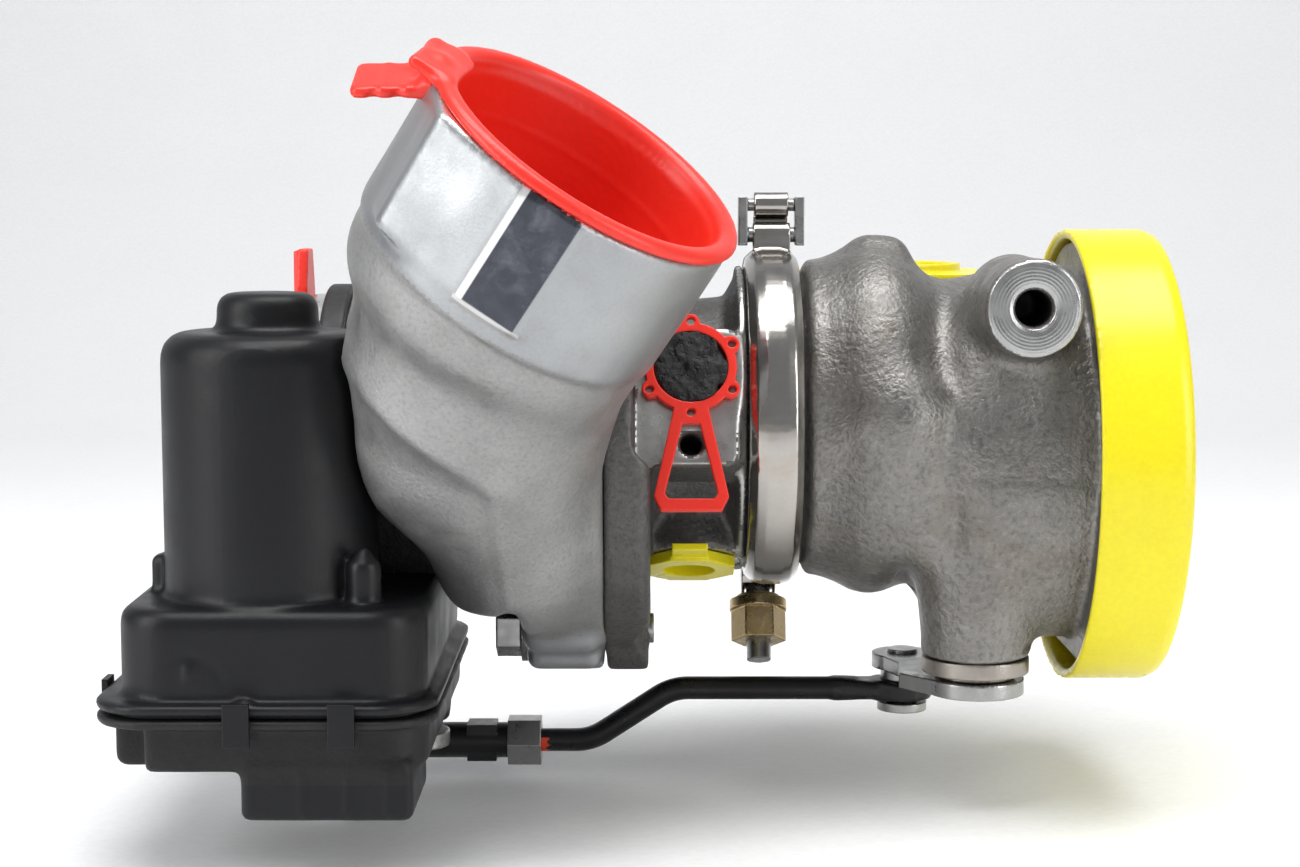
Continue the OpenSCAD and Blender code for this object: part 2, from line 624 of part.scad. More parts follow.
// plug with a flat pull tab that stands up and has a rib on its -X face
module compressor_inlet_plug() color([0.93, 0.2, 0.16]) difference() {
  union() {
    cyl_x(inlet_bore_r-0.1, -60.4, -55.2);
    cyl_x(23.6, -60.8, -58.65);
    translate([-60.8, 0, 0]) along_x() linear_extrude(2.1)
      polygon([[-7, 18], [7, 18], [5.6, 26], [3.4, 33.4], [-3.4, 33.4], [-5.6, 26]]);
    translate([-62, -1, 20]) cube([1.3, 2, 13]);
  }
  cyl_x(19.4, -64, -56.8);
}
module oil_inlet_foam() color([0.06, 0.06, 0.06])
  at_oil() lift(-8.8) cylinder(r=oil_inlet_bore_r-0.1, h=11);
// ring with six pierced lobes and an open tab
lobe_angles = [30:60:330];
tab_outline = [[-3, -7], [3, -7], [6.9, -25], [5.6, -27.6], [-5.6, -27.6], [-6.9, -25]];
tab_window = [[-1.6, -11], [1.6, -11], [4.9, -24.4], [4.2, -25.4], [-4.2, -25.4], [-4.9, -24.4]];
module oil_inlet_retainer() color([0.9, 0.16, 0.14]) at_oil() difference() {
  union() {
    lift(0.05) cylinder(r=8.6, h=1.9);
    for (a=lobe_angles) rotate(a) translate([8.6, 0, 0.05]) cylinder(r=1.7, h=1.9);
    lift(0.05) linear_extrude(1.9) polygon(tab_outline);
  }
  lift(-1) cylinder(r=oil_inlet_bore_r-0.06, h=5);
  for (a=lobe_angles) rotate(a) translate([8.9, 0, -1]) cylinder(r=0.8, h=4);
  lift(-1) linear_extrude(4) polygon(tab_window);
}
module oil_drain_cap() color([0.95, 0.9, 0.2]) at_drain() difference() {
  union() {
    lift(0.05) rotate(22.5) cylinder(r=9.6, h=2.2, $fn=8);
    lift(-7) cylinder(r=drain_bore_r-0.12, h=8);
    translate([-3.4, 7, 0.05]) cube([6.8, 7.4, 1.4]);
  }
  lift(-5.6) cylinder(r=5, h=9);
}
cap_inner_r = out_flange_r+0.35;
cap_outer_r = cap_inner_r+1.95;
module turbine_outlet_cap() color([0.96, 0.9, 0.15]) at_turbine_outlet() revolve([
  [0, 106], [cap_inner_r, 106], [cap_inner_r, 90.9], [cap_inner_r+0.65, 90.5],
  [cap_outer_r, 90.5], [cap_outer_r, 105.4], [cap_outer_r-0.8, 107.3],
  [cap_outer_r-2.7, 108], [0, 108]]);
module turbine_inlet_cap() color([0.96, 0.9, 0.15]) difference() {
  union() {
    flange_slab(20.5, 25.05, 27.6);
    post(port_at, 26, 16, 3.4);
    translate([flange_at[0]+18, flange_at[1]-16, 25.05]) cube([8, 12, 2]);
  }
  post(port_at, 27, 14.2, 4);
}

// ---------------------------------------------------------------- actuator case
// corners of the gear case, [x, y]
case_min = [-86.9, -70];
case_max = [-29.6, 13];
// insets are measured from the -X, -Y, +X and +Y sides
rim_insets = [-1.6, -1.4, -1.4, -1.4];
module case_slab(insets, corner, z0, z1) {
  slab(case_min[0]+insets[0], case_min[1]+insets[1], case_max[0]-insets[2],
    case_max[1]-insets[3], corner, z0, z1);
}
module actuator_bracket() color([0.13, 0.13, 0.13]) difference() {
  union() {
    translate([-46, -30, -26.9]) cube([17.2, 37, 2.35]);
    translate([-46, -30, -26.9]) cube([15, 3.2, 14.9]);
    translate([-46, -30, -13]) cube([11.4, 3.2, 9]);
  }
  at_screws(-28) cylinder(r=2.7, h=6);
}
// screws through the roof of the gear housing and the bracket
module bracket_bolts() color([0.5, 0.5, 0.52]) at_screws(0) union() {
  lift(-30) cylinder(r=2.5, h=9.3);
  lift(-31.6) cylinder(r=4.2, h=1.98);
}
module actuator_housing() color([0.09, 0.09, 0.09]) difference() {
  union() {
    case_slab([4, 3.4, 2, 2], 9, -29.6, -27);
    case_slab([2.6, 1.4, 0.8, 1], 10, -44, -29);
    case_slab(rim_insets, 11, -45, -43);
    post(motor_at, -28, motor_shell_r, 48);
    post(motor_at, 19, 9, 7.8);
    post([-41.4, -60], -30, 3, 13);
  }
  case_slab([4.8, 3.8, 2.2, 3.2], 8, -46, -29.6);
  at_screws(-30) cylinder(r=2.6, h=4);
  post(motor_at, -31, 17, 49);
  post(motor_at, 17, 5, 7.5);
  post(idler_at, -31, motor_shaft_r+0.02, 2.4);
}
module cover_gasket() color([0.05, 0.05, 0.05]) difference() {
  case_slab([1, 1, 1, 1], 9, -45.6, -45.02);
  case_slab([4.2, 3.6, 2.1, 3], 8, -47, -44);
}
bushing_outer_r = 5;
// the four connector terminals, spaced along Y
module at_terminals() { for (i=[0:3]) translate([0, -63.5+i*4.6, 0]) children(); }
module actuator_cover() color([0.11, 0.11, 0.11]) difference() {
  union() {
    case_slab(rim_insets, 11, -47.4, -45.62);
    difference() {
      case_slab([1.6, 1, 0.5, 0.5], 9, -55.5, -46);
      translate([case_min[0], case_min[1]-1, -56]) cube([8, 8, 9]);
    }
    // connector shell and output boss
    translate([-62.4, -69, -64]) cube([30, 26, 9]);
    post(output_at, -57, 6.4, 4);
  }
  case_slab([4.4, 10, 3, 3], 6, -53.4, -44);
  case_slab([10.6, 3.8, 3, 3.2], 6, -53.5, -44.1);
  translate([-64, -67, -62.2]) cube([24, 22, 5]);
  post(output_at, -60, bushing_outer_r+0.03, 10);
  // terminal slots
  at_terminals() {
    translate([-42, 0, -60.2]) cube([4, 1.3, 1.3]);
    translate([-39.5, 0, -60.2]) cube([1.3, 1.3, 8]);
  }
}
// clips on the -Y, -X and +Y sides
module cover_clips() color([0.12, 0.12, 0.12]) union() {
  for (x=[-46.5, -64.5]) translate([x, case_min[1]-2.6, -50]) cube([4.6, 1.15, 7.6]);
  for (y=[-52, -22, 2]) translate([case_min[0]-2.9, y, -50]) cube([1.2, 5, 7.6]);
  for (x=[-46.5, -74.5]) translate([x, case_max[1]+1.45, -50]) cube([4.6, 1.15, 7.6]);
}
module circuit_board() color([0.1, 0.35, 0.2]) union() {
  translate([-80, -57, -52.2]) cube([38, 33, 1.5]);
  translate([-74, -50, -50.8]) cube([7, 7, 1.4]);
  translate([-64, -40, -50.8]) cube([5, 4, 1.6]);
  translate([-76, -34, -50.8]) cube([4, 3, 1.2]);
}
module connector_terminals() color([0.8, 0.7, 0.4]) at_terminals() union() {
  translate([-52, 0.05, -60.15]) cube([13.6, 1.2, 1.2]);
  translate([-39.45, 0.05, -60.15]) cube([1.2, 1.2, 7.9]);
}

// ---------------------------------------------------------------- motor and gears
module motor_case() color([0.62, 0.62, 0.64]) place(motor_at) difference() {
  union() {
    lift(-26) cylinder(r=16.8, h=42);
    lift(15) cylinder(r=4.8, h=6);
    lift(-28.5) cylinder(r=5, h=3);
  }
  lift(-24) cylinder(r=15.4, h=38.4);
  lift(-30) cylinder(r=motor_shaft_r+0.05, h=48);
}
module motor_magnets() color([0.2, 0.2, 0.22]) place(motor_at, -14)
  for (a=[0, 180]) rotate(a) rotate([0, 0, -62])
    rotate_extrude(angle=124) translate([11.6, 0]) square([3.75, 22]);
// shaft, slotted core and commutator
module motor_armature() color([0.6, 0.45, 0.3]) place(motor_at) union() {
  lift(-39.5) cylinder(r=motor_shaft_r, h=57);
  difference() {
    lift(-14) cylinder(r=11.2, h=22);
    for (k=[0:5]) rotate(k*60) translate([7.4, -1.1, -16]) cube([5, 2.2, 26]);
  }
  lift(9) cylinder(r=4, h=4);
}
module motor_pinion() color([0.75, 0.68, 0.45]) place(motor_at, -38.9) difference() {
  rotate(heading(motor_at, idler_at)) linear_extrude(8) gear2d(motor_mod, pinion_teeth);
  lift(-1) cylinder(r=motor_shaft_r+0.02, h=12);
}
module idler_gear() color([0.88, 0.86, 0.78]) place(idler_at) difference() {
  union() {
    lift(-38.5) rotate(heading(idler_at, motor_at)+180/idler_teeth)
      linear_extrude(5) gear2d(motor_mod, idler_teeth);
    lift(-46.5) rotate(heading(idler_at, output_at))
      linear_extrude(8.2) gear2d(sector_mod, idler_pinion_teeth);
  }
  lift(-48) cylinder(r=motor_shaft_r+0.04, h=20);
}
module idler_axle() color([0.6, 0.6, 0.62]) post(idler_at, -47.2, motor_shaft_r, 18.4);
// toothed sector on a hub, cut to a wedge of 81.6 degrees
module output_gear() color([0.88, 0.86, 0.78]) place(output_at) difference() {
  union() {
    lift(-45.6) linear_extrude(6.2) intersection() {
      rotate(heading(output_at, idler_at)+180/sector_teeth)
        gear2d(sector_mod, sector_teeth, first=-2, last=7);
      rotate(heading(output_at, idler_at))
        polygon(concat([[0, 0]], [for (i=[0:8]) polar(24, -18+i*10.2)]));
    }
    lift(-45.6) cylinder(r=4.4, h=8);
  }
  lift(-48) cylinder(r=pin_r+0.02, h=20);
}
module output_shaft() color([0.6, 0.6, 0.62]) post(output_at, -62.4, pin_r, 28.4);
module output_bushing() color([0.78, 0.6, 0.32]) place(output_at) difference() {
  lift(-57.6) cylinder(r=bushing_outer_r, h=7.4);
  lift(-60) cylinder(r=pin_r+0.04, h=12);
}

// ---------------------------------------------------------------- linkage
module crank2d() {
  translate(output_at) circle(r=6.4);
  translate(crank_pin_at) circle(r=6);
  translate(output_at) rotate(arm_angle) translate([0, -5]) square([arm_length, 10]);
}
module crank_lever() color([0.6, 0.6, 0.6]) difference() {
  lift(-62) linear_extrude(3) crank2d();
  post(output_at, -63, pin_r+0.02, 6);
  post(crank_pin_at, -63, pin_r+0.02, 6);
}
module crank_pin() color([0.5, 0.5, 0.5]) place(crank_pin_at) union() {
  lift(-71.6) cylinder(r=pin_r, h=13);
  lift(-72.2) cylinder(r=4.6, h=1.6);
}
module at_rod(z) { translate([0, crank_pin_at[1], z]) children(); }
module rod_end_sleeve() color([0.08, 0.08, 0.08]) at_rod(rod_low_z) difference() {
  union() {
    translate([crank_pin_at[0], 0, -3.4]) cylinder(r=7, h=6.8);
    cyl_x(3.6, -46, -20.4);
    translate([-28.6, -3.2, -3.75]) cube([6, 6.4, 7.5]);
  }
  translate([crank_pin_at[0], 0, -5]) cylinder(r=pin_r+0.06, h=10);
  cyl_x(rod_r+0.04, -38, -20);
}
module jam_nut() color([0.68, 0.66, 0.62]) at_rod(rod_low_z) difference() {
  translate([-20.35, 0, 0]) rotate([0, 90, 0]) rotate(90) cylinder(r=5.3, h=6.8, $fn=6);
  cyl_x(rod_r+0.04, -21, -13);
}
// ends of the slanted piece of the rod, [x, z]
bend_start = [-3.4, rod_low_z];
bend_end = [13.2, rod_high_z];
bend_length = norm(bend_end-bend_start);
eye_x = lever_pin_at[0];
module control_rod() color([0.08, 0.08, 0.08]) at_rod(0) difference() {
  union() {
    // two straight runs and the slanted one between them
    bar_x([-37, 0, rod_low_z], rod_r, 38+bend_start[0]);
    translate([bend_start[0]-0.8, 0, rod_low_z]) rotate([0, 90-heading(bend_start, bend_end), 0])
      cylinder(r=rod_r-0.08, h=bend_length+1.6);
    bar_x([bend_end[0]-1, 0, rod_high_z], rod_r, eye_x-4-bend_end[0]);
    // flat eye on the lever pin
    translate([eye_x, 0, rod_high_z-1.9]) cylinder(r=6, h=3.8);
    translate([eye_x-9.6, -4, rod_high_z-1.9]) cube([8, 8, 3.8]);
  }
  translate([eye_x, 0, rod_high_z-4]) cylinder(r=pin_r+pivot_gap, h=8);
}

compressor_housing();
compressor_bolts();
bolt_clamp_plates();
housing_o_ring();
inlet_seal_ring();
bearing_housing();
journal_bearings();
bearing_spacer();
thrust_bearing();
seal_plate();
shaft_seal_rings();
heat_shield();
turbine_housing();
wastegate_bushing();
vband_front();
vband_rear();
vband_link();
vband_trunnion();
vband_t_bolt();
vband_nut();
actuator_bracket();
bracket_bolts();
actuator_housing();
cover_gasket();
actuator_cover();
cover_clips();
motor_case();
motor_magnets();
circuit_board();
connector_terminals();
idler_axle();
output_bushing();
locating_pin();
rotor_shaft();
turbine_wheel();
compressor_wheel();
compressor_nut();
thrust_collar();
compressor_outlet_plug();
compressor_inlet_plug();
oil_inlet_retainer();
oil_inlet_foam();
oil_drain_cap();
turbine_outlet_cap();
turbine_inlet_cap();
wastegate_spindle();
wastegate_flap();
flap_washer();
wastegate_lever();
lever_pin();
output_gear();
output_shaft();
crank_lever();
crank_pin();
rod_end_sleeve();
jam_nut();
control_rod();
idler_gear();
motor_armature();
motor_pinion();
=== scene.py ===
"""A turbocharger with an actuator box and its transport plugs.

The shaft lies along x: compressor at -x, bearing housing in the middle, turbine at +x.
The front is -y and z is up. The actuator hangs in front of and below the compressor.
Castings are modelled in millimetres as distance fields, then meshed in metres.
"""
import json
import math

import bpy
import numpy as np
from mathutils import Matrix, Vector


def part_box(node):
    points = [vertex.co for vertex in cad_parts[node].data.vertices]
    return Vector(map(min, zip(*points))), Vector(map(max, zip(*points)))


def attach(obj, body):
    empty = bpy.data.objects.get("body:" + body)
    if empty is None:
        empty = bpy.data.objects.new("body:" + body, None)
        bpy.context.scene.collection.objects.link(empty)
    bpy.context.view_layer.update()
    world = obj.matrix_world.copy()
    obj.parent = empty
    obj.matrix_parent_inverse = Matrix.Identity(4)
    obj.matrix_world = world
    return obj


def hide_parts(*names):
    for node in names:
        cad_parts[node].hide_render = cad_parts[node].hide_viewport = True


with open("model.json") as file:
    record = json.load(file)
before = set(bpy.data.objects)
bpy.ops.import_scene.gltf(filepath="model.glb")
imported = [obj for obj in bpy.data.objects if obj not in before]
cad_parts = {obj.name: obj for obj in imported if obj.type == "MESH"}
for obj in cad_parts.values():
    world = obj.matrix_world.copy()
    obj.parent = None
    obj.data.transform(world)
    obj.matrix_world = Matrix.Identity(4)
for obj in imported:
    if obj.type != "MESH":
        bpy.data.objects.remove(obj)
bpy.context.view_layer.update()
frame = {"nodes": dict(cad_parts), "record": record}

import openvdb as vdb
from mathutils import Vector

NODES = frame["nodes"]
F32 = np.float32
rad = math.radians


# ---------------------------------------------------------------- distances (negative inside)
def smooth_min(a, b, blend):
    if blend <= 0:
        return np.minimum(a, b)
    near = np.maximum(blend - np.abs(a - b), 0) / blend
    return np.minimum(a, b) - near * near * blend * 0.25


def smooth_max(a, b, blend):
    return -smooth_min(-a, -b, blend)


def radial(a, b):
    return np.sqrt(a * a + b * b)


def polygon_distance(px, py, corners, open_axis=False):
    """Distance to a polygon. open_axis leaves out the edges that lie on px = 0."""
    nearest, inside = np.inf, False
    for (ax, ay), (bx, by) in zip(corners, corners[1:] + corners[:1]):
        if not (open_axis and ax <= 1e-6 and bx <= 1e-6):
            ex, ey = bx - ax, by - ay
            wx, wy = px - ax, py - ay
            t = np.clip((wx * ex + wy * ey) / (ex * ex + ey * ey), 0, 1)
            nearest = np.minimum(nearest, (wx - ex * t) ** 2 + (wy - ey * t) ** 2)
        if ay != by:
            inside = inside ^ (((ay > py) != (by > py))
                               & (px < (bx - ax) * (py - ay) / (by - ay) + ax))
    nearest = np.sqrt(nearest)
    return np.where(inside, -nearest, nearest)


def blur(field, axis, steps):
    for _ in range(steps):
        old = np.moveaxis(field, axis, 0)
        field = field.copy()
        new = np.moveaxis(field, axis, 0)
        new[1:-1] = 0.5 * old[1:-1] + 0.25 * (old[:-2] + old[2:])
    return field


# ---------------------------------------------------------------- shapes
def along(axis, x, y, z):
    """The coordinate along an axis, then the two across it."""
    return {"x": (x, y, z), "y": (y, x, z), "z": (z, x, y)}[axis]


def turned(profile, blur_steps, axis="x", centre=(0, 0)):
    """Solid turned from (radius, along) points. Blurring a table rounds its corners."""
    step, margin, first_radius = 0.25, 14, -6
    points = np.array(profile, float)
    start = points[:, 1].min() - margin
    radii = np.arange(first_radius, points[:, 0].max() + margin, step)
    places = np.arange(start, points[:, 1].max() + margin, step)
    table = polygon_distance(np.abs(radii)[:, None], places[None, :], profile, open_axis=True)
    table = blur(blur(table.astype(F32), 0, blur_steps), 1, blur_steps)

    def shape(x, y, z):
        length, across, up = along(axis, x, y, z)
        radius = radial(across - centre[0], up - centre[1])
        a = np.clip((radius - first_radius) / step, 0, table.shape[0] - 1.001)
        b = np.clip((length - start) / step, 0, table.shape[1] - 1.001)
        a, b = np.broadcast_arrays(a, b)
        i = a.astype(np.int32)
        j = b.astype(np.int32)
        fa = (a - i).astype(F32)
        fb = (b - j).astype(F32)
        return ((table[i, j] * (1 - fa) + table[i + 1, j] * fa) * (1 - fb)
                + (table[i, j + 1] * (1 - fa) + table[i + 1, j + 1] * fa) * fb)
    return shape


def sphere(c, radius):
    return lambda x, y, z: np.sqrt((x - c[0]) ** 2 + (y - c[1]) ** 2 + (z - c[2]) ** 2) - radius


def cylinder(axis, centre, radius, start, end, soft=0.6, end_radius=None):
    def shape(x, y, z):
        length, across, up = along(axis, x, y, z)
        r = radius
        if end_radius is not None:
            r = radius + (end_radius - radius) * np.clip((length - start) / (end - start), 0, 1)
        return smooth_max(radial(across - centre[0], up - centre[1]) - r,
                          np.abs(length - (start + end) / 2) - (end - start) / 2, soft)
    return shape


def box(low, high, rounding=0.0):
    centre = [(low[i] + high[i]) / 2 for i in range(3)]
    half = [(high[i] - low[i]) / 2 - rounding for i in range(3)]

    def shape(x, y, z):
        q = [np.abs(g - centre[i]) - half[i] for i, g in enumerate((x, y, z))]
        outside = np.sqrt(np.maximum(q[0], 0) ** 2 + np.maximum(q[1], 0) ** 2
                          + np.maximum(q[2], 0) ** 2)
        return outside + np.minimum(np.maximum(q[0], np.maximum(q[1], q[2])), 0) - rounding
    return shape


def slab(x0, y0, x1, y1, corner, z0, z1, soft=0.6):
    """Plate with rounded corners in plan."""
    cx, cy = (x0 + x1) / 2, (y0 + y1) / 2
    bx, by = (x1 - x0) / 2 - corner, (y1 - y0) / 2 - corner

    def shape(x, y, z):
        qx, qy = np.abs(x - cx) - bx, np.abs(y - cy) - by
        plan = (radial(np.maximum(qx, 0), np.maximum(qy, 0))
                + np.minimum(np.maximum(qx, qy), 0) - corner)
        return smooth_max(plan, np.abs(z - (z0 + z1) / 2) - (z1 - z0) / 2, soft)
    return shape


def ring(radius, tube, place, axis="x"):
    def shape(x, y, z):
        length, across, up = along(axis, x, y, z)
        return radial(radial(across, up) - radius, length - place) - tube
    return shape


def capsule(a, b, radius, end_radius=None):
    a = np.array(a, float)
    d = np.array(b, float) - a
    square = float(d @ d)

    def shape(x, y, z):
        t = np.clip(((x - a[0]) * d[0] + (y - a[1]) * d[1] + (z - a[2]) * d[2]) / square, 0, 1)
        r = radius if end_radius is None else radius + (end_radius - radius) * t
        return np.sqrt((x - a[0] - t * d[0]) ** 2 + (y - a[1] - t * d[1]) ** 2
                       + (z - a[2] - t * d[2]) ** 2) - r
    return shape


def prism(corners, z0, z1, soft):
    return lambda x, y, z: smooth_max(polygon_distance(x, y, corners),
                                      np.abs(z - (z0 + z1) / 2) - (z1 - z0) / 2, soft)


def scroll(stations):
    """Tube wound round x. Stations: angle in degrees, winding radius, tube radius, x."""
    angles, winding, tube, place = np.array(stations, float).T

    def shape(x, y, z):
        angle = np.degrees(np.arctan2(z, y))
        angle = np.where(angle > 152, angle - 360, angle)
        return (radial(radial(y, z) - np.interp(angle, angles, winding),
                       x - np.interp(angle, angles, place))
                - np.interp(angle, angles, tube)).astype(F32)
    return shape


def turn(about_x, about_y=0):
    """Rotation in degrees about x, then y."""
    a, b = rad(about_x), rad(about_y)
    first = np.array([[1, 0, 0], [0, math.cos(a), -math.sin(a)], [0, math.sin(a), math.cos(a)]])
    then = np.array([[math.cos(b), 0, math.sin(b)], [0, 1, 0], [-math.sin(b), 0, math.cos(b)]])
    return then @ first


def in_frame(shape, local):
    """A shape given in a local frame: (origin, rotation whose columns are its axes)."""
    P, R = local

    def moved(x, y, z):
        x, y, z = x - P[0], y - P[1], z - P[2]
        return shape(x * R[0, 0] + y * R[1, 0] + z * R[2, 0],
                     x * R[0, 1] + y * R[1, 1] + z * R[2, 1],
                     x * R[0, 2] + y * R[1, 2] + z * R[2, 2])
    return moved


class Casting:
    """Distance field on a grid. Each step works only inside its low-high window."""
    def __init__(self, low, high, cell):
        self.low = np.array(low, float)
        self.cell = cell
        counts = np.ceil((np.array(high, float) - self.low) / cell).astype(int) + 1
        self.axes = [(self.low[i] + cell * np.arange(counts[i])).astype(F32) for i in range(3)]
        self.field = np.full(tuple(counts), 12.0, F32)

    def window(self, low, high, margin):
        parts = []
        for i in range(3):
            a = max(0, int((low[i] - margin - self.low[i]) / self.cell))
            b = int((high[i] + margin - self.low[i]) / self.cell) + 2
            parts.append(slice(a, min(len(self.axes[i]), b)))
        return tuple(parts), np.ix_(*[axis[part] for axis, part in zip(self.axes, parts)])

    def add(self, shape, low=(-999,) * 3, high=(999,) * 3, blend=0.8):
        part, grid = self.window(low, high, blend + 3)
        self.field[part] = smooth_min(self.field[part], shape(*grid), blend)

    def cut(self, shape, low=(-999,) * 3, high=(999,) * 3, blend=0.3):
        part, grid = self.window(low, high, blend + 3)
        self.field[part] = smooth_max(self.field[part], -shape(*grid), blend)

    def swell(self, height, low, high):
        """Raises the surface by a height that depends on the place."""
        part, grid = self.window(low, high, 0)
        self.field[part] -= height(*grid).astype(F32)

    def noise(self, size, height, seed):
        """Spline-smoothed random waves."""
        weights = []
        for axis in self.axes:
            t = (axis - axis[0]) / size
            i = np.floor(t).astype(int)
            f = (t - i).astype(F32)
            w = np.zeros((len(axis), int(t[-1]) + 5), F32)
            spline = ((1 - f) ** 3 / 6, (3 * f ** 3 - 6 * f ** 2 + 4) / 6,
                      (-3 * f ** 3 + 3 * f ** 2 + 3 * f + 1) / 6, f ** 3 / 6)
            for j, part in enumerate(spline):
                w[np.arange(len(axis)), i + j] += part
            weights.append(w)
        shape = tuple(w.shape[1] for w in weights)
        lattice = np.random.RandomState(seed).uniform(-1, 1, shape).astype(F32)
        waves = np.tensordot(weights[0], lattice, (1, 0))
        for w in weights[1:]:
            waves = np.tensordot(waves, w, (1, 1))
        self.field += waves * (height * 2.2)

    def soften(self):
        for axis in range(3):
            self.field = blur(self.field, axis, 1)

    def mesh(self, name, local=None):
        field = self.field
        # positive border, so that the surface closes at the edge of the grid
        field[[0, -1]] = 1
        field[:, [0, -1]] = 1
        field[:, :, [0, -1]] = 1
        grid = vdb.FloatGrid(background=12.0)
        grid.copyFromArray(field, tolerance=0.0)
        points, quads = grid.convertToQuads(0.0)
        points = points.astype(float) * self.cell + self.low
        quads = quads.astype(np.int64)
        a, b, c, d = [points[quads[:, i]] for i in range(4)]
        volume = (np.einsum("ij,ij->i", a, np.cross(b, c)).sum()
                  + np.einsum("ij,ij->i", a, np.cross(c, d)).sum())
        if volume < 0:
            quads = quads[:, ::-1]
        if local is not None:
            points = points @ local[1].T + local[0]
        count = len(quads)
        me = bpy.data.meshes.new(name)
        me.vertices.add(len(points))
        me.vertices.foreach_set("co", (points * 0.001).astype(F32).ravel())
        me.loops.add(count * 4)
        me.loops.foreach_set("vertex_index", quads.astype(np.int32).ravel())
        me.polygons.add(count)
        me.polygons.foreach_set("loop_start", np.arange(0, count * 4, 4, dtype=np.int32))
        me.polygons.foreach_set("use_smooth", np.ones(count, bool))
        me.update(calc_edges=True)
        me.validate()
        obj = bpy.data.objects.new(name, me)
        bpy.context.scene.collection.objects.link(obj)
        return obj


# ---------------------------------------------------------------- shared places (mm)
OUTLET = (np.array([-2.2, -69, 50.2]), turn(17.6, 33.7))    # compressor outlet, z outward
PORT_X = 16.2
OIL_TURN, DRAIN_TURN = turn(68), turn(158)
OIL = (np.array([PORT_X, 0, 0]) + OIL_TURN @ np.array([0, 0, 31.0]), OIL_TURN)
DRAIN = (np.array([PORT_X, 0, 0]) + DRAIN_TURN @ np.array([0, 0, 29.4]), DRAIN_TURN)
BOLT_CIRCLE = 42.2
# housing bolts: y, z, angle
BOLTS = [(BOLT_CIRCLE * math.cos(rad(a)), BOLT_CIRCLE * math.sin(rad(a)), a)
         for a in (262, 334, 46, 118)]
LUG_RADIUS = 8.2
BOSS = (78, 23.6)               # turbine's front boss: x, z
LEVER_BORE = (71.4, -20)        # wastegate bushing bore: x, y

# ---------------------------------------------------------------- materials
MATS = {}


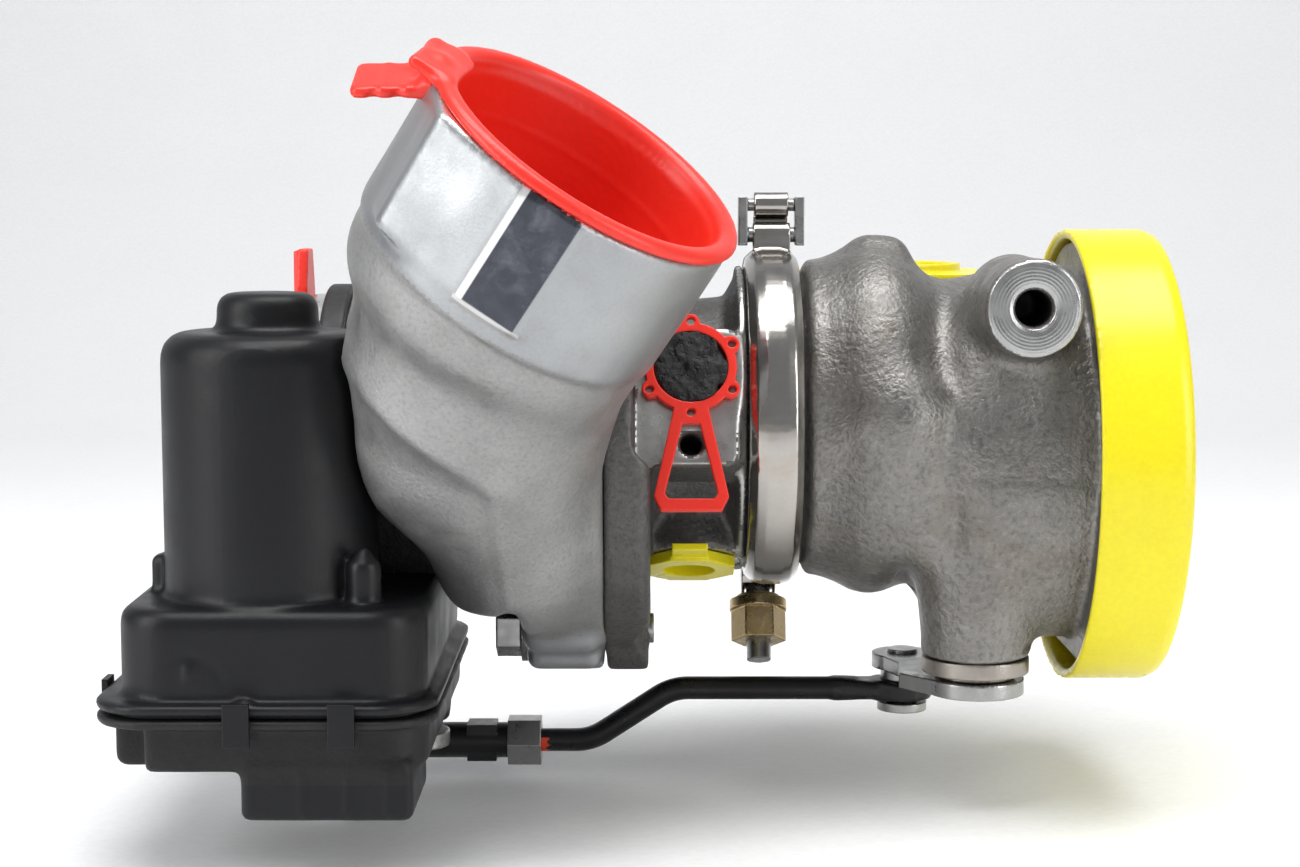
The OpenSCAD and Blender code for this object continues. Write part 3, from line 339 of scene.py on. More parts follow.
def material(name, colour, rough, metal=0.0, patches=(12, 0.10), fine=(0.5, 0.03), coarse=None,
             spread=0.10, stain=None, wear=0.0, lines=None, rings=None, specular=0.5,
             subsurface=0.0, pits=None, grain=None, zones=()):
    """Procedural material, lengths in mm.

    patches: size, share of lighter and darker. fine, coarse: bump size, height.
    spread: roughness variation. stain: colour, size, strength, threshold (0.54).
    wear: brightening of edges. pits: size, darkening, depth; the darkening is painted shade in
    the pits.
    lines: bump size, scale, rotation, height. rings: centre, scale, pitch, height.
    grain: size, height, contrast.
    zones: direction, distance from the outlet, soft edge, colour, roughness.
    """
    m = bpy.data.materials.new(name)
    m.use_nodes = True
    nodes, links = m.node_tree.nodes, m.node_tree.links
    shader = nodes["Principled BSDF"]

    def connect(value, socket):
        if isinstance(value, bpy.types.NodeSocket):
            links.new(value, socket)
        else:
            socket.default_value = value

    def node(kind, inputs, **settings):
        made = nodes.new("ShaderNode" + kind)
        for key, value in settings.items():
            setattr(made, key, value)
        for key, value in inputs.items():
            connect(value, made.inputs[key])
        return made.outputs

    place = node("TexCoord", {})["Object"]

    def noise(size, detail=3, rough=0.55, vector=place, distortion=0.0):
        return node("TexNoise", {"Scale": 1000.0 / size, "Detail": detail, "Roughness": rough,
                                 "Distortion": distortion, "Vector": vector})["Fac"]

    def ramp(value, a, b, start=0.0, end=1.0):
        return node("MapRange", {"From Min": a, "From Max": b, "To Min": start, "To Max": end,
                                 "Value": value}, clamp=True)["Result"]

    def mix(factor, *colours):
        a, b = [c if isinstance(c, bpy.types.NodeSocket) else (*c, 1) for c in colours]
        return node("Mix", {0: factor, 6: a, 7: b}, data_type="RGBA")[2]

    def vector_math(operation, inputs):
        return node("VectorMath", inputs, operation=operation)

    def scaled(factor):
        return [min(1, c * factor) for c in colour]

    base = mix(ramp(noise(patches[0], 4), 0.3, 0.7), scaled(1 - patches[1]),
               scaled(1 + patches[1]))
    speckle = mix(ramp(noise(fine[0] * 1.6, 2), 0.35, 0.65), scaled(0.93), scaled(1.06))
    base = mix(0.35, base, speckle)
    if stain:
        tint, size, strength, threshold = (*stain, 0.54)[:4]
        cloud = noise(size, 5, 0.62, distortion=0.6)
        base = mix(ramp(cloud, threshold, 0.74, 0, strength), base, tint)
    if pits:
        # painted shade: colour darkened in the pits that the bump below dents in
        base = mix(ramp(noise(pits[0], 2), 0.60, 0.68, 0, pits[1]), base, scaled(0.45))
    if grain:
        grains = ramp(noise(grain[0], 3, 0.6), 0.34, 0.66)
        base = mix(ramp(grains, 0.0, 0.45, grain[2], 0.0), base, scaled(0.38))
        base = mix(ramp(grains, 0.75, 1.0, 0.0, grain[2] * 0.8), base, scaled(1.45))
    if wear:
        edges = node("NewGeometry", {})["Pointiness"]
        base = mix(ramp(edges, 0.52, 0.58, 0, wear), base,
                   [min(1, c * 1.7 + 0.03) for c in colour])
    gloss = ramp(noise(patches[0] * 0.6, 4), 0.3, 0.7, max(0.03, rough - spread),
                 min(1, rough + spread))
    if zones:
        origin = [float(q) / 1000 for q in OUTLET[0]]
        offset = vector_math("SUBTRACT", {1: origin, 0: place})[0]
    for direction, start, edge, tint, tint_rough in zones:
        reach = vector_math("DOT_PRODUCT", {1: [float(q) for q in direction], 0: offset})
        beyond = ramp(reach["Value"], (start - edge) / 1000, (start + edge) / 1000)
        base = mix(beyond, base, tint)
        gloss = node("Mix", {0: beyond, 2: gloss, 3: tint_rough}, data_type="FLOAT")[0]
    surface = {"Base Color": base, "Roughness": gloss, "Metallic": metal,
               "Specular IOR Level": specular}
    if subsurface:
        surface.update({"Subsurface Weight": subsurface, "Subsurface Radius": (1, 0.4, 0.2),
                        "Subsurface Scale": 0.0015})
    for key, value in surface.items():
        connect(value, shader.inputs[key])

    def bump(value, height, under):
        inputs = {"Strength": 1.0, "Distance": height / 1000.0, "Height": value}
        if under is not None:
            inputs["Normal"] = under
        return node("Bump", inputs)["Normal"]

    normal = None
    if coarse:
        normal = bump(noise(coarse[0], 3, 0.6), coarse[1], normal)
    if pits:
        normal = bump(ramp(noise(pits[0], 2), 0.56, 0.70), -pits[2], normal)
    if lines:
        size, scale, rotation, height = lines
        stretched = node("Mapping", {"Rotation": rotation, "Scale": scale, "Vector": place})
        normal = bump(noise(size, 2, 0.5, stretched["Vector"]), height, normal)
    if rings:
        centre, scale, pitch, height = rings
        offset = vector_math("SUBTRACT", {1: [c / 1000 for c in centre], 0: place})[0]
        flat = vector_math("MULTIPLY", {1: scale, 0: offset})[0]
        radius = vector_math("LENGTH", {0: flat})["Value"]
        phase = node("Math", {1: 2 * math.pi * 1000 / pitch, 0: radius}, operation="MULTIPLY")
        normal = bump(node("Math", {0: phase[0]}, operation="SINE")[0], height, normal)
    if grain:
        normal = bump(grains, grain[1], normal)
    normal = bump(noise(fine[0], 3, 0.6), fine[1], normal)
    links.new(normal, shader.inputs["Normal"])
    MATS[name] = m


# aluminium
SATIN = (0.36, 0.37, 0.38)
material("alu_cast", (0.33, 0.33, 0.325), rough=0.46, metal=0.70, patches=(9, 0.10),
         fine=(0.4, 0.02), coarse=(2.4, 0.05), wear=0.5, stain=((0.235, 0.23, 0.215), 16, 0.4),
         grain=(0.75, 0.030, 0.22))
material("alu_satin", SATIN, rough=0.38, metal=0.80, patches=(14, 0.10), fine=(0.4, 0.010),
         coarse=(3, 0.010), wear=0.6, stain=((0.27, 0.27, 0.27), 12, 0.4),
         grain=(0.5, 0.006, 0.08))
material("alu_smooth", (0.62, 0.62, 0.62), rough=0.33, metal=0.9, patches=(7, 0.06),
         fine=(0.3, 0.008), coarse=(2.5, 0.012), wear=0.6,
         lines=(0.5, (1, 0.05, 1), (0, 0, 0), 0.006))
material("alu_bright", (0.86, 0.86, 0.85), rough=0.22, metal=0.9, patches=(5, 0.05),
         fine=(0.25, 0.004))
OUTLET_RIGHT, OUTLET_OUT = OUTLET[1][:, 0], OUTLET[1][:, 2]
# the facet's dark bluish base colour is a painted reflection in the flat aluminium face
material("alu_facet_painted_reflection", (0.055, 0.06, 0.075), rough=0.26, metal=0.6, patches=(4, 0.3),
         fine=(0.3, 0.004), stain=((0.20, 0.21, 0.24), 5, 0.5, 0.50),
         lines=(0.8, (0.15, 1, 1), (0, 0.6, 0), 0.01),
         zones=((OUTLET_RIGHT, 6.2, 0.12, SATIN, 0.38),
                (-OUTLET_RIGHT, 3.5, 0.10, (0.80, 0.80, 0.80), 0.22),
                (-OUTLET_RIGHT, 4.75, 0.15, SATIN, 0.38),
                (-OUTLET_OUT, 21.7, 0.15, (0.58, 0.58, 0.575), 0.3),
                (-OUTLET_OUT, 22.5, 0.12, (0.33, 0.33, 0.325), 0.45)))
material("alu_turned", (0.70, 0.70, 0.71), rough=0.28, metal=1.0, patches=(6, 0.05),
         fine=(0.25, 0.004), rings=((0, 0, 0), (0, 1, 1), 0.5, 0.006))
# iron and hot castings
material("iron_cast", (0.105, 0.102, 0.098), rough=0.52, metal=0.6, patches=(8, 0.18),
         coarse=(2.6, 0.10), wear=0.5, stain=((0.15, 0.135, 0.11), 9, 0.5),
         grain=(1.0, 0.085, 0.4))
material("iron_machined", (0.40, 0.40, 0.385), rough=0.32, metal=0.9, patches=(5, 0.10),
         fine=(0.3, 0.006), stain=((0.25, 0.24, 0.21), 4, 0.5, 0.56),
         lines=(0.6, (1, 0.1, 1), (0, 0, 0.3), 0.008))
material("turbine_cast", (0.235, 0.226, 0.213), rough=0.43, metal=0.78, patches=(11, 0.18),
         fine=(0.45, 0.03), coarse=(2.6, 0.12), wear=0.5,
         stain=((0.155, 0.12, 0.083), 17, 0.5), spread=0.12, grain=(1.05, 0.10, 0.42))
material("boss_turned", (0.42, 0.42, 0.415), rough=0.30, metal=0.95, patches=(5, 0.06),
         fine=(0.25, 0.006), rings=((BOSS[0], -42.5, BOSS[1]), (1, 0, 1), 0.62, 0.012),
         stain=((0.33, 0.31, 0.28), 6, 0.4))
# near-black colour for the walls of holes: painted shade inside the holes
material("hole_painted_shade", (0.02, 0.02, 0.02), rough=0.5, metal=0.4, patches=(3, 0.3),
         fine=(0.5, 0.02))
material("heat_alloy", (0.34, 0.31, 0.28), rough=0.36, metal=0.95, patches=(6, 0.15),
         fine=(0.3, 0.015), stain=((0.22, 0.15, 0.10), 8, 0.5))
# steel and coloured metals
material("steel", (0.36, 0.36, 0.355), rough=0.32, metal=1.0, patches=(5, 0.10),
         fine=(0.3, 0.010), coarse=(2, 0.012), stain=((0.24, 0.225, 0.20), 5, 0.4))
material("steel_dark", (0.22, 0.22, 0.23), rough=0.34, metal=0.95, patches=(4, 0.15),
         fine=(0.3, 0.012), stain=((0.08, 0.08, 0.09), 4, 0.4))
material("band_steel", (0.42, 0.40, 0.375), rough=0.17, metal=1.0, patches=(14, 0.08),
         fine=(0.4, 0.003), coarse=(5, 0.02), spread=0.06, stain=((0.33, 0.27, 0.20), 13, 0.4),
         lines=(0.5, (1, 0.12, 0.12), (0, 0, 0), 0.003))
material("gold_zinc", (0.50, 0.375, 0.19), rough=0.30, metal=0.95, patches=(4, 0.15),
         fine=(0.3, 0.010), stain=((0.46, 0.43, 0.38), 4, 0.5), wear=0.3)
material("bronze", (0.52, 0.34, 0.13), rough=0.32, metal=0.95, patches=(5, 0.1),
         fine=(0.3, 0.008))
material("copper", (0.50, 0.20, 0.09), rough=0.34, metal=0.9, patches=(3, 0.12),
         fine=(0.35, 0.03))
material("black_steel", (0.012, 0.012, 0.013), rough=0.34, metal=0.35, patches=(6, 0.3),
         fine=(0.3, 0.012), coarse=(3, 0.012), wear=0.15)
# black_bracket: the near-black colour is painted shade, standing for the can's shadow on the
# actuator bracket; the pebbled grain is its real texture
material("black_bracket", (0.026, 0.026, 0.027), rough=0.48, metal=0.25,
         grain=(1.3, 0.14, 0.4), patches=(5, 0.25), fine=(0.5, 0.05), coarse=(1.2, 0.16),
         wear=0.25)
# plastics and the rest
material("black_plastic", (0.0058, 0.0060, 0.0072), rough=0.42, specular=0.30,
         grain=(0.6, 0.006, 0.15), patches=(14, 0.25), fine=(0.28, 0.016),
         coarse=(1.2, 0.010), spread=0.06, wear=0.25)
material("black_plastic_rough", (0.0085, 0.0085, 0.0092), rough=0.50, specular=0.34,
         grain=(0.9, 0.035, 0.3), patches=(8, 0.3), fine=(0.5, 0.05), coarse=(1.3, 0.04),
         spread=0.08, wear=0.4)
material("rubber", (0.012, 0.012, 0.013), rough=0.55, patches=(5, 0.3), fine=(0.4, 0.02))
material("foam", (0.008, 0.008, 0.008), rough=0.62, patches=(1.5, 0.6), fine=(0.5, 0.20),
         coarse=(1.8, 0.45), pits=(1.4, 0.9, 0.4))
material("red_plastic", (0.80, 0.030, 0.016), rough=0.36, patches=(20, 0.07),
         fine=(0.6, 0.010), coarse=(6, 0.05), spread=0.05, subsurface=0.25)
material("yellow_plastic", (0.80, 0.70, 0.008), rough=0.30, patches=(25, 0.05),
         fine=(0.6, 0.006), coarse=(9, 0.05), spread=0.05, subsurface=0.2)
material("gear_plastic", (0.66, 0.64, 0.55), rough=0.42, patches=(6, 0.06), fine=(0.4, 0.01))
material("board", (0.02, 0.16, 0.06), rough=0.40, patches=(3, 0.2), fine=(0.6, 0.02))
material("magnet", (0.10, 0.10, 0.11), rough=0.55, metal=0.3, patches=(4, 0.15),
         fine=(0.4, 0.03))
material("paint_red", (0.70, 0.05, 0.015), rough=0.42, patches=(1.5, 0.25), fine=(0.5, 0.05))


# ---------------------------------------------------------------- dressing the objects
def set_materials(obj, names):
    obj.data.materials.clear()
    for name in names:
        obj.data.materials.append(MATS[name])


def place(obj, body, slot, materials, replaced, painted=None):
    """Hands a mesh to the frame. painted is the material index of each face."""
    set_materials(obj, materials)
    if painted is not None:
        obj.data.polygons.foreach_set("material_index", painted.astype(np.int32))
        obj.data.update()
    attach(obj, body)
    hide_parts(replaced)


def faces(obj):
    """Face centres in mm, face normals and a blank list of material indices."""
    polygons = obj.data.polygons
    centres, normals = np.zeros((2, len(polygons) * 3), F32)
    polygons.foreach_get("center", centres)
    polygons.foreach_get("normal", normals)
    return centres.reshape(-1, 3) * 1000, normals.reshape(-1, 3), np.zeros(len(polygons), int)


# ---------------------------------------------------------------- compressor housing
# scroll stations: angle, winding radius, tube radius, x
SCROLL_OUTSIDE = [
    (-208, 46, 10, -22), (-188, 44, 16.4, -19.5), (-165, 42.2, 15.0, -17.4),
    (-142, 38.6, 13.0, -14.8), (-118, 34.2, 10.8, -12.3), (-90, 32.0, 9.7, -11.3),
    (-24, 31.6, 9.2, -11.5), (64, 31.1, 8.7, -11.6), (150, 30.6, 8.0, -11.2)]
SCROLL_PASSAGE = [
    (-182, 40, 10.8, -17.1), (-141, 40, 10.8, -17.1), (-119, 34.5, 7.8, -13.5),
    (-23, 30.4, 5, -11.4), (148, 30.2, 4.4, -11.2)]
# turned profiles: radius, x
BACK_FLANGE = [(0, -14), (46, -14), (46, 0), (0, 0)]
INLET_CONE = [(0, -40), (25.5, -40), (25.5, -34), (28, -28), (33, -20), (40, -10), (0, -10)]
INLET_SPIGOT = [
    (0, -58.6), (23.8, -58.6), (24.4, -58), (24.4, -55), (23.9, -55), (23.9, -49.5),
    (25.5, -49.5), (25.5, -38), (0, -38)]
COMPRESSOR_BORE = [
    (0, -61), (21, -61), (21, -55), (19.2, -50), (18.6, -38), (18.6, -22), (20.5, -14),
    (24.6, -8.6), (36, -8.6), (36, -5.5), (38.05, -5.5), (38.05, 2), (0, 2)]
# flat-sided mouth, in the outlet frame
MOUTH_FLATS = [(-27.2, -9), (-22.3, -22.6), (-4.2, -29.5), (6.5, -29.6), (20, -20), (0, 0),
               (-20, 5)]
CAN = (-59.6, -47.0)            # centre of the actuator's can: x, y
SCREW_HOLE = 3.3


def mouth(x, y, z):
    collar = smooth_max(radial(x, y) - 28.9, np.abs(z + 13.2) - 13.2, 1.6)
    return smooth_min(collar, prism(MOUTH_FLATS, -22.6, 0, 0.5)(x, y, z), 0.5)


def compressor_solid(add):
    add(turned(BACK_FLANGE, 3), blend=1)
    add(turned(INLET_CONE, 5), blend=5)
    add(scroll(SCROLL_OUTSIDE), blend=5)
    # neck from the scroll to the outlet
    add(capsule((-13, -33, -14), (-12, -38, 12), 12.5, 15.5), (-34, -60, -34), (4, -18, 34),
        blend=7)
    add(sphere((-24.6, -46.4, 3), 20.3), (-46, -68, -18), (-3, -25, 25), blend=9)
    add(in_frame(cylinder("z", (3.2, 1.5), 21.2, -52, -14, 2), OUTLET),
        (-50, -95, -15), (14, -30, 66), blend=9)
    add(in_frame(cylinder("z", (-0.4, 0.0), 27.3, -37, -14, 9), OUTLET),
        (-50, -97, -10), (16, -34, 66), blend=5)
    add(capsule((-24.6, -46.4, 3), (-17.0, -56.5, 25.5), 20.3, 25.6),
        (-52, -90, -20), (12, -26, 56), blend=7)
    add(capsule((-20.5, -52.5, 14), (-17.5, -35.5, -22), 17.5, 13.0),
        (-52, -80, -44), (12, -10, 46), blend=9)
    # inlet spigot with its ring seat
    add(turned(INLET_SPIGOT, 1), (-60, -27, -27), (-38, 27, 27), blend=0.4)
    add(in_frame(mouth, OUTLET), (-45, -100, 5), (30, -35, 80), blend=1.6)
    # bolt lugs, each with a block toward the shaft
    for y, z, angle in BOLTS:
        add(cylinder("x", (y, z), LUG_RADIUS, -15, -0.4, 0.5),
            (-16, y - 9, z - 9), (0, y + 9, z + 9), blend=1.2)
        add(in_frame(box((-14.6, 28, -7.7), (-0.7, BOLT_CIRCLE, 7.7), 0.6),
                     ((0, 0, 0), turn(angle))),
            (-16, min(0, y * 1.2) - 9, min(0, z * 1.2) - 9),
            (0, max(0, y * 1.2) + 9, max(0, z * 1.2) + 9), blend=2.5)
    # block under the inlet
    add(box((-45.5, -23, -24.6), (-28.5, 7, -12), 1.0), (-46, -24, -26), (-28, 8, -11), blend=2)


def compressor_openings(add, cut):
    # joint face
    cut(lambda x, y, z: np.maximum(-0.02 - x, radial(y, z) - 49), (-1, -50, -52), (27, 50, 50),
        blend=0.25)
    # clearance for the actuator: flat underside and can
    cut(box((-60, -60, -60), (-28.1, 60, -24.5)), (-61, -30, -40), (-28, 14, -24), blend=0.25)
    cut(cylinder("z", CAN, 19.7, -60, 20.7, 0.3), (-61, -68, -50), (-39, -26, 22), blend=0.4)
    cut(turned(COMPRESSOR_BORE, 1), (-61, -40, -40), (2, 40, 40), blend=0.2)
    cut(scroll(SCROLL_PASSAGE), (-30, -52, -45), (0, 40, 40), blend=0.6)
    cut(sphere((-22.5, -47.5, 3.2), 14.6), (-38, -63, -12), (-7, -32, 18), blend=1)
    cut(in_frame(cylinder("z", (5.5, 1.3), 15, -50, -10, 1), OUTLET),
        (-45, -90, -10), (30, -35, 70), blend=1)
    cut(in_frame(cylinder("z", (0, 0), 26.2, -24, 3, 0.4), OUTLET),
        (-45, -100, 5), (30, -35, 80), blend=0.3)
    # head clearance and hole of each screw
    for y, z, _ in BOLTS:
        cut(cylinder("x", (y, z), 6.95, -40, -15.0, 0.3),
            (-40, y - 8, z - 8), (-15, y + 8, z + 8), blend=0.4)
        cut(cylinder("x", (y, z), SCREW_HOLE, -16, 1, 0.2),
            (-16, y - 4, z - 4), (1, y + 4, z + 4), blend=0.2)
    # pocket round the lowest screw head, with the plain lug beside it
    cut(box((-40, -48, -60), (-15.7, 3, -33.0), 1.5), (-41, -49, -52), (-15, 4, -32), blend=2.0)
    cut(box((-18.5, -60, -60), (-15.7, 3, -31.8), 1.0), (-19, -61, -52), (-15, 4, -31),
        blend=1.2)
    add(box((-15.5, -15.5, -48.6), (-0.7, 2, -33.0), 2.2), (-16, -25, -50), (0, 3, -32),
        blend=0.6)
    add(box((-15.5, -24, -44.0), (-0.7, 0, -33.0), 3.2), (-16, -25, -50), (0, 3, -32),
        blend=3.0)
    cut(cylinder("x", BOLTS[0][:2], SCREW_HOLE, -16, 1, 0.2), (-16, -11, -47), (1, -1, -36),
        blend=0.2)


def scroll_seam(x, y, z):
    seam = -20.2 + 0.075 * (14 - z)
    return 0.38 * np.exp(-((x - seam) / 0.7) ** 2) * (y < -40)


def compressor():
    cast = Casting((-61, -100, -52), (27, 50, 80), cell=0.74)
    compressor_solid(cast.add)
    cast.noise(13, 0.22, seed=3)
    cast.swell(scroll_seam, (-26, -68, -30), (-10, -40, 20))
    compressor_openings(cast.add, cast.cut)
    cast.soften()
    obj = cast.mesh("compressor_casting")
    centres, normals, kind = faces(obj)
    x, y, z = centres.T
    u, v, w = ((centres - OUTLET[0]) @ OUTLET[1]).T
    outward = (normals @ OUTLET[1])[:, 2]
    radius = radial(y, z)
    # satin collar, faceted front flat (its dark bluish colour is a painted reflection), bright
    # rim
    kind[(w > -25.5) & (w < 0.3) & (np.abs(outward) < 0.6) & (radial(u, v) > 28.3)] = 5
    kind[(w > -23.4) & (w < 0.3) & (u > -5.2) & (u < 7.2) & (v < -26.5)] = 1
    kind[(outward > 0.9) & (w > -0.8)] = 2
    # plain lug, spigot, bore
    kind[(z < -33) & (y < 3) & (y > -25) & (x > -15.3) & (x < -0.6) & (radius > 40.5)] = 5
    kind[(radius < 26.5) & (x < -42) & (radius > 23.5)] = 3
    kind[(radius < 21.5) & (x < -8)] = 4
    place(obj, "housings", "cast_aluminium",
          ["alu_cast", "alu_facet_painted_reflection", "alu_bright", "alu_smooth", "alu_turned", "alu_satin"],
          "compressor_housing", kind)


# ---------------------------------------------------------------- bearing housing
# turned profiles: radius, x
BEARING_BODY = [
    (0, -5.5), (38, -5.5), (38, 0), (46, 0), (46, 7.2), (44.6, 8.6), (27, 8.6), (24.5, 11),
    (23.5, 16), (24, 23), (27.5, 25), (30.4, 25.4), (30.4, 26.6), (28.6, 27), (28.6, 28.2),
    (29, 29.6), (29.9, 32.3), (0, 32.3)]
BEARING_BORE = [
    (0, -6), (20.05, -6), (20.05, -0.4), (12.05, -0.4), (12.05, 2.6), (6.53, 2.6),
    (6.53, 25.6), (5.56, 25.6), (5.56, 34), (0, 34)]
SIDE_PORT_X = 17.2
SIDE_PORTS = (-12, 12)          # z of the two ports at the back


def bearing_openings(cut):
    # flat faces of the oil pad and the drain
    cut(in_frame(slab(-10.8, -20.7, 10.8, 10.3, 4, 0, 22, 0.3), OIL),
        (4, -60, -20), (28, -20, 40), blend=0.3)
    cut(in_frame(cylinder("z", (0, 0), 10.3, 0, 24, 0.3), DRAIN),
        (4, -40, -60), (28, 10, -24), blend=0.3)
    cut(turned(BEARING_BORE, 0), (-7, -22, -22), (34, 22, 22), blend=0.1)
    # groove in the rim
    cut(lambda x, y, z: np.maximum(np.abs(x + 2.6) - 1.1, np.abs(radial(y, z) - 37.75) - 1.5),
        (-5, -40, -40), (0, 40, 40), blend=0.1)
    # oil inlet, its narrow drilling and the pad's screw hole
    cut(in_frame(cylinder("z", (0, 0), 7, -9, 3, 0.3), OIL), (8, -45, -5), (25, -18, 22),
        blend=0.3)
    cut(in_frame(cylinder("z", (0, 0), 2, -28, 3, 0.2), OIL), (8, -45, -5), (25, 0, 22),
        blend=0.2)
    cut(in_frame(cylinder("z", (0, -14.4), 2.1, -10, 3, 0.3), OIL), (12, -45, -12),
        (20, -18, 8), blend=0.5)
    cut(in_frame(cylinder("z", (0, 0), 6.5, -24, 3, 0.3), DRAIN), (8, -20, -42), (25, 3, -3),
        blend=0.4)
    for z in SIDE_PORTS:
        cut(cylinder("y", (SIDE_PORT_X, z), 5.1, 17, 33, 0.3), (10, 16, z - 6), (24, 34, z + 6),
            blend=0.5)
    for y, z, _ in BOLTS:
        cut(cylinder("x", (y, z), 3.04, -1, 10, 0.2), (-1, y - 4, z - 4), (10, y + 4, z + 4),
            blend=0.2)


def bearing():
    cast = Casting((-7, -50, -52), (34, 50, 52), cell=0.6)
    add = cast.add
    add(turned(BEARING_BODY, 2), blend=0.5)
    for y, z, _ in BOLTS:
        add(cylinder("x", (y, z), LUG_RADIUS, 0.2, 8.3, 0.6), (0, y - 9, z - 9),
            (9, y + 9, z + 9), blend=1.5)
    add(in_frame(slab(-9.3, -18.9, 9.3, 8.3, 3, -12, 0, 0.6), OIL), (5, -40, -15),
        (28, -15, 25), blend=2.2)
    add(in_frame(cylinder("z", (0, 0), 11, -12, 0, 0.6), DRAIN), (4, -28, -42), (28, 6, -12),
        blend=2.2)
    for z in SIDE_PORTS:
        add(cylinder("y", (SIDE_PORT_X, z), 8.6, 16, 31, 0.6), (8, 15, z - 9), (26, 32, z + 9),
            blend=2)
    cast.noise(9, 0.18, seed=5)
    bearing_openings(cast.cut)
    cast.soften()
    obj = cast.mesh("bearing_casting")
    centres, normals, kind = faces(obj)
    x, y, z = centres.T
    radius = radial(y, z)
    # machined pad and drain faces
    u, v, w = ((centres - OIL[0]) @ OIL[1]).T
    outward = (normals @ OIL[1])[:, 2]
    kind[(outward > 0.93) & (np.abs(w) < 0.5) & (np.abs(u) < 11) & (v > -21) & (v < 11)] = 1
    du, dv, dw = ((centres - DRAIN[0]) @ DRAIN[1]).T
    outward = (normals @ DRAIN[1])[:, 2]
    kind[(outward > 0.93) & (np.abs(dw) < 0.5) & (radial(du, dv) < 11)] = 1
    # screw hole walls painted near-black as painted shade, machined band rim, cast flange back
    kind[(radial(u, v + 14.4) < 2.4) & (w < -1.6)] = 2
    kind[(radius > 30.0) & (x > 24.8) & (x < 27.2)] = 1
    kind[(x > 8.2) & (normals[:, 0] > 0.95) & (radius > 28)] = 0
    place(obj, "housings", "cast_iron", ["iron_cast", "iron_machined", "hole_painted_shade"],
          "bearing_housing", kind)


# ---------------------------------------------------------------- turbine housing
# turned profiles: radius, x
TURBINE_BODY = [
    (0, 32.4), (29.9, 32.4), (29, 35.2), (28.6, 37), (28.6, 38.2), (31.4, 39.4), (31.8, 44),
    (31, 48), (32, 53), (30, 60), (27, 65), (0, 65)]
OUTLET_LOBE = [
    (0, 60), (25, 60), (31, 63.5), (34.6, 68), (36, 74), (36.5, 92), (42.4, 92),
    (42.4, 104.8), (41.7, 105.5), (0, 105.5)]
TURBINE_BORE = [
    (0, 30), (25, 30), (25, 34.2), (25, 34.3), (19.6, 36.2), (19.6, 43.6), (17.6, 49.4),
    (17, 50.6), (17, 69), (0, 69)]
LOBE_CENTRE = (0, -7.5)         # y, z
INLET = (59.5, 41.5)            # inlet leg: x, y
INLET_FLANGE = (38, 20.5, 83, 65.5)     # left, front, right, back
FLANGE_HOLE_INSET = 5


def turbine_solid(add):
    add(turned(TURBINE_BODY, 2), blend=0.5)
    add(ring(25.4, 10.0, 52), (40, -38, -38), (64, 38, 38), blend=3)
    add(turned(OUTLET_LOBE, 2, centre=LOBE_CENTRE), blend=5)
    add(cylinder("y", BOSS, 8.9, -42.5, -14, 0.5), (68, -43, 14), (88, -10, 34), blend=2.6)
    # bushing seat and its root
    add(cylinder("z", LEVER_BORE, 10.6, -44.4, -24, 0.8), (60, -31, -45), (83, -9, -22),
        blend=3.5)
    add(capsule((*LEVER_BORE, -30), (84, -16, -30), 9.5), (60, -31, -45), (96, -5, -20),
        blend=6)
    # root of the boss running into the outlet lobe
    add(capsule((78, -22, 16), (74, -24, -2), 9.0, 7.0), (62, -36, -14), (90, -10, 28), blend=8)
    # inlet leg and flange
    add(cylinder("z", INLET, 15.2, -6, 20, 1), (44, 26, -8), (75, 58, 20), blend=4)
    add(sphere((58.5, 37.5, -6), 15), (43, 22, -22), (74, 53, 10), blend=4)
    add(box((51.5, 14, -12), (68.5, 38, 19), 2), (51, 14, -12), (69, 38, 19), blend=5)
    add(slab(*INLET_FLANGE, 6, 18, 25, 0.6), (38, 20, 17), (83, 66, 26), blend=1.6)
    # nub on top of the scroll
    add(capsule((51.5, -4, 32.6), (55.5, -4, 32.6), 3.2), (46, -10, 28), (61, 2, 38), blend=4)
    # swelling low on the front
    add(capsule((57, -30.5, 3), (60, -25, -20), 6.2, 5.0), (48, -40, -30), (68, -18, 12),
        blend=7)


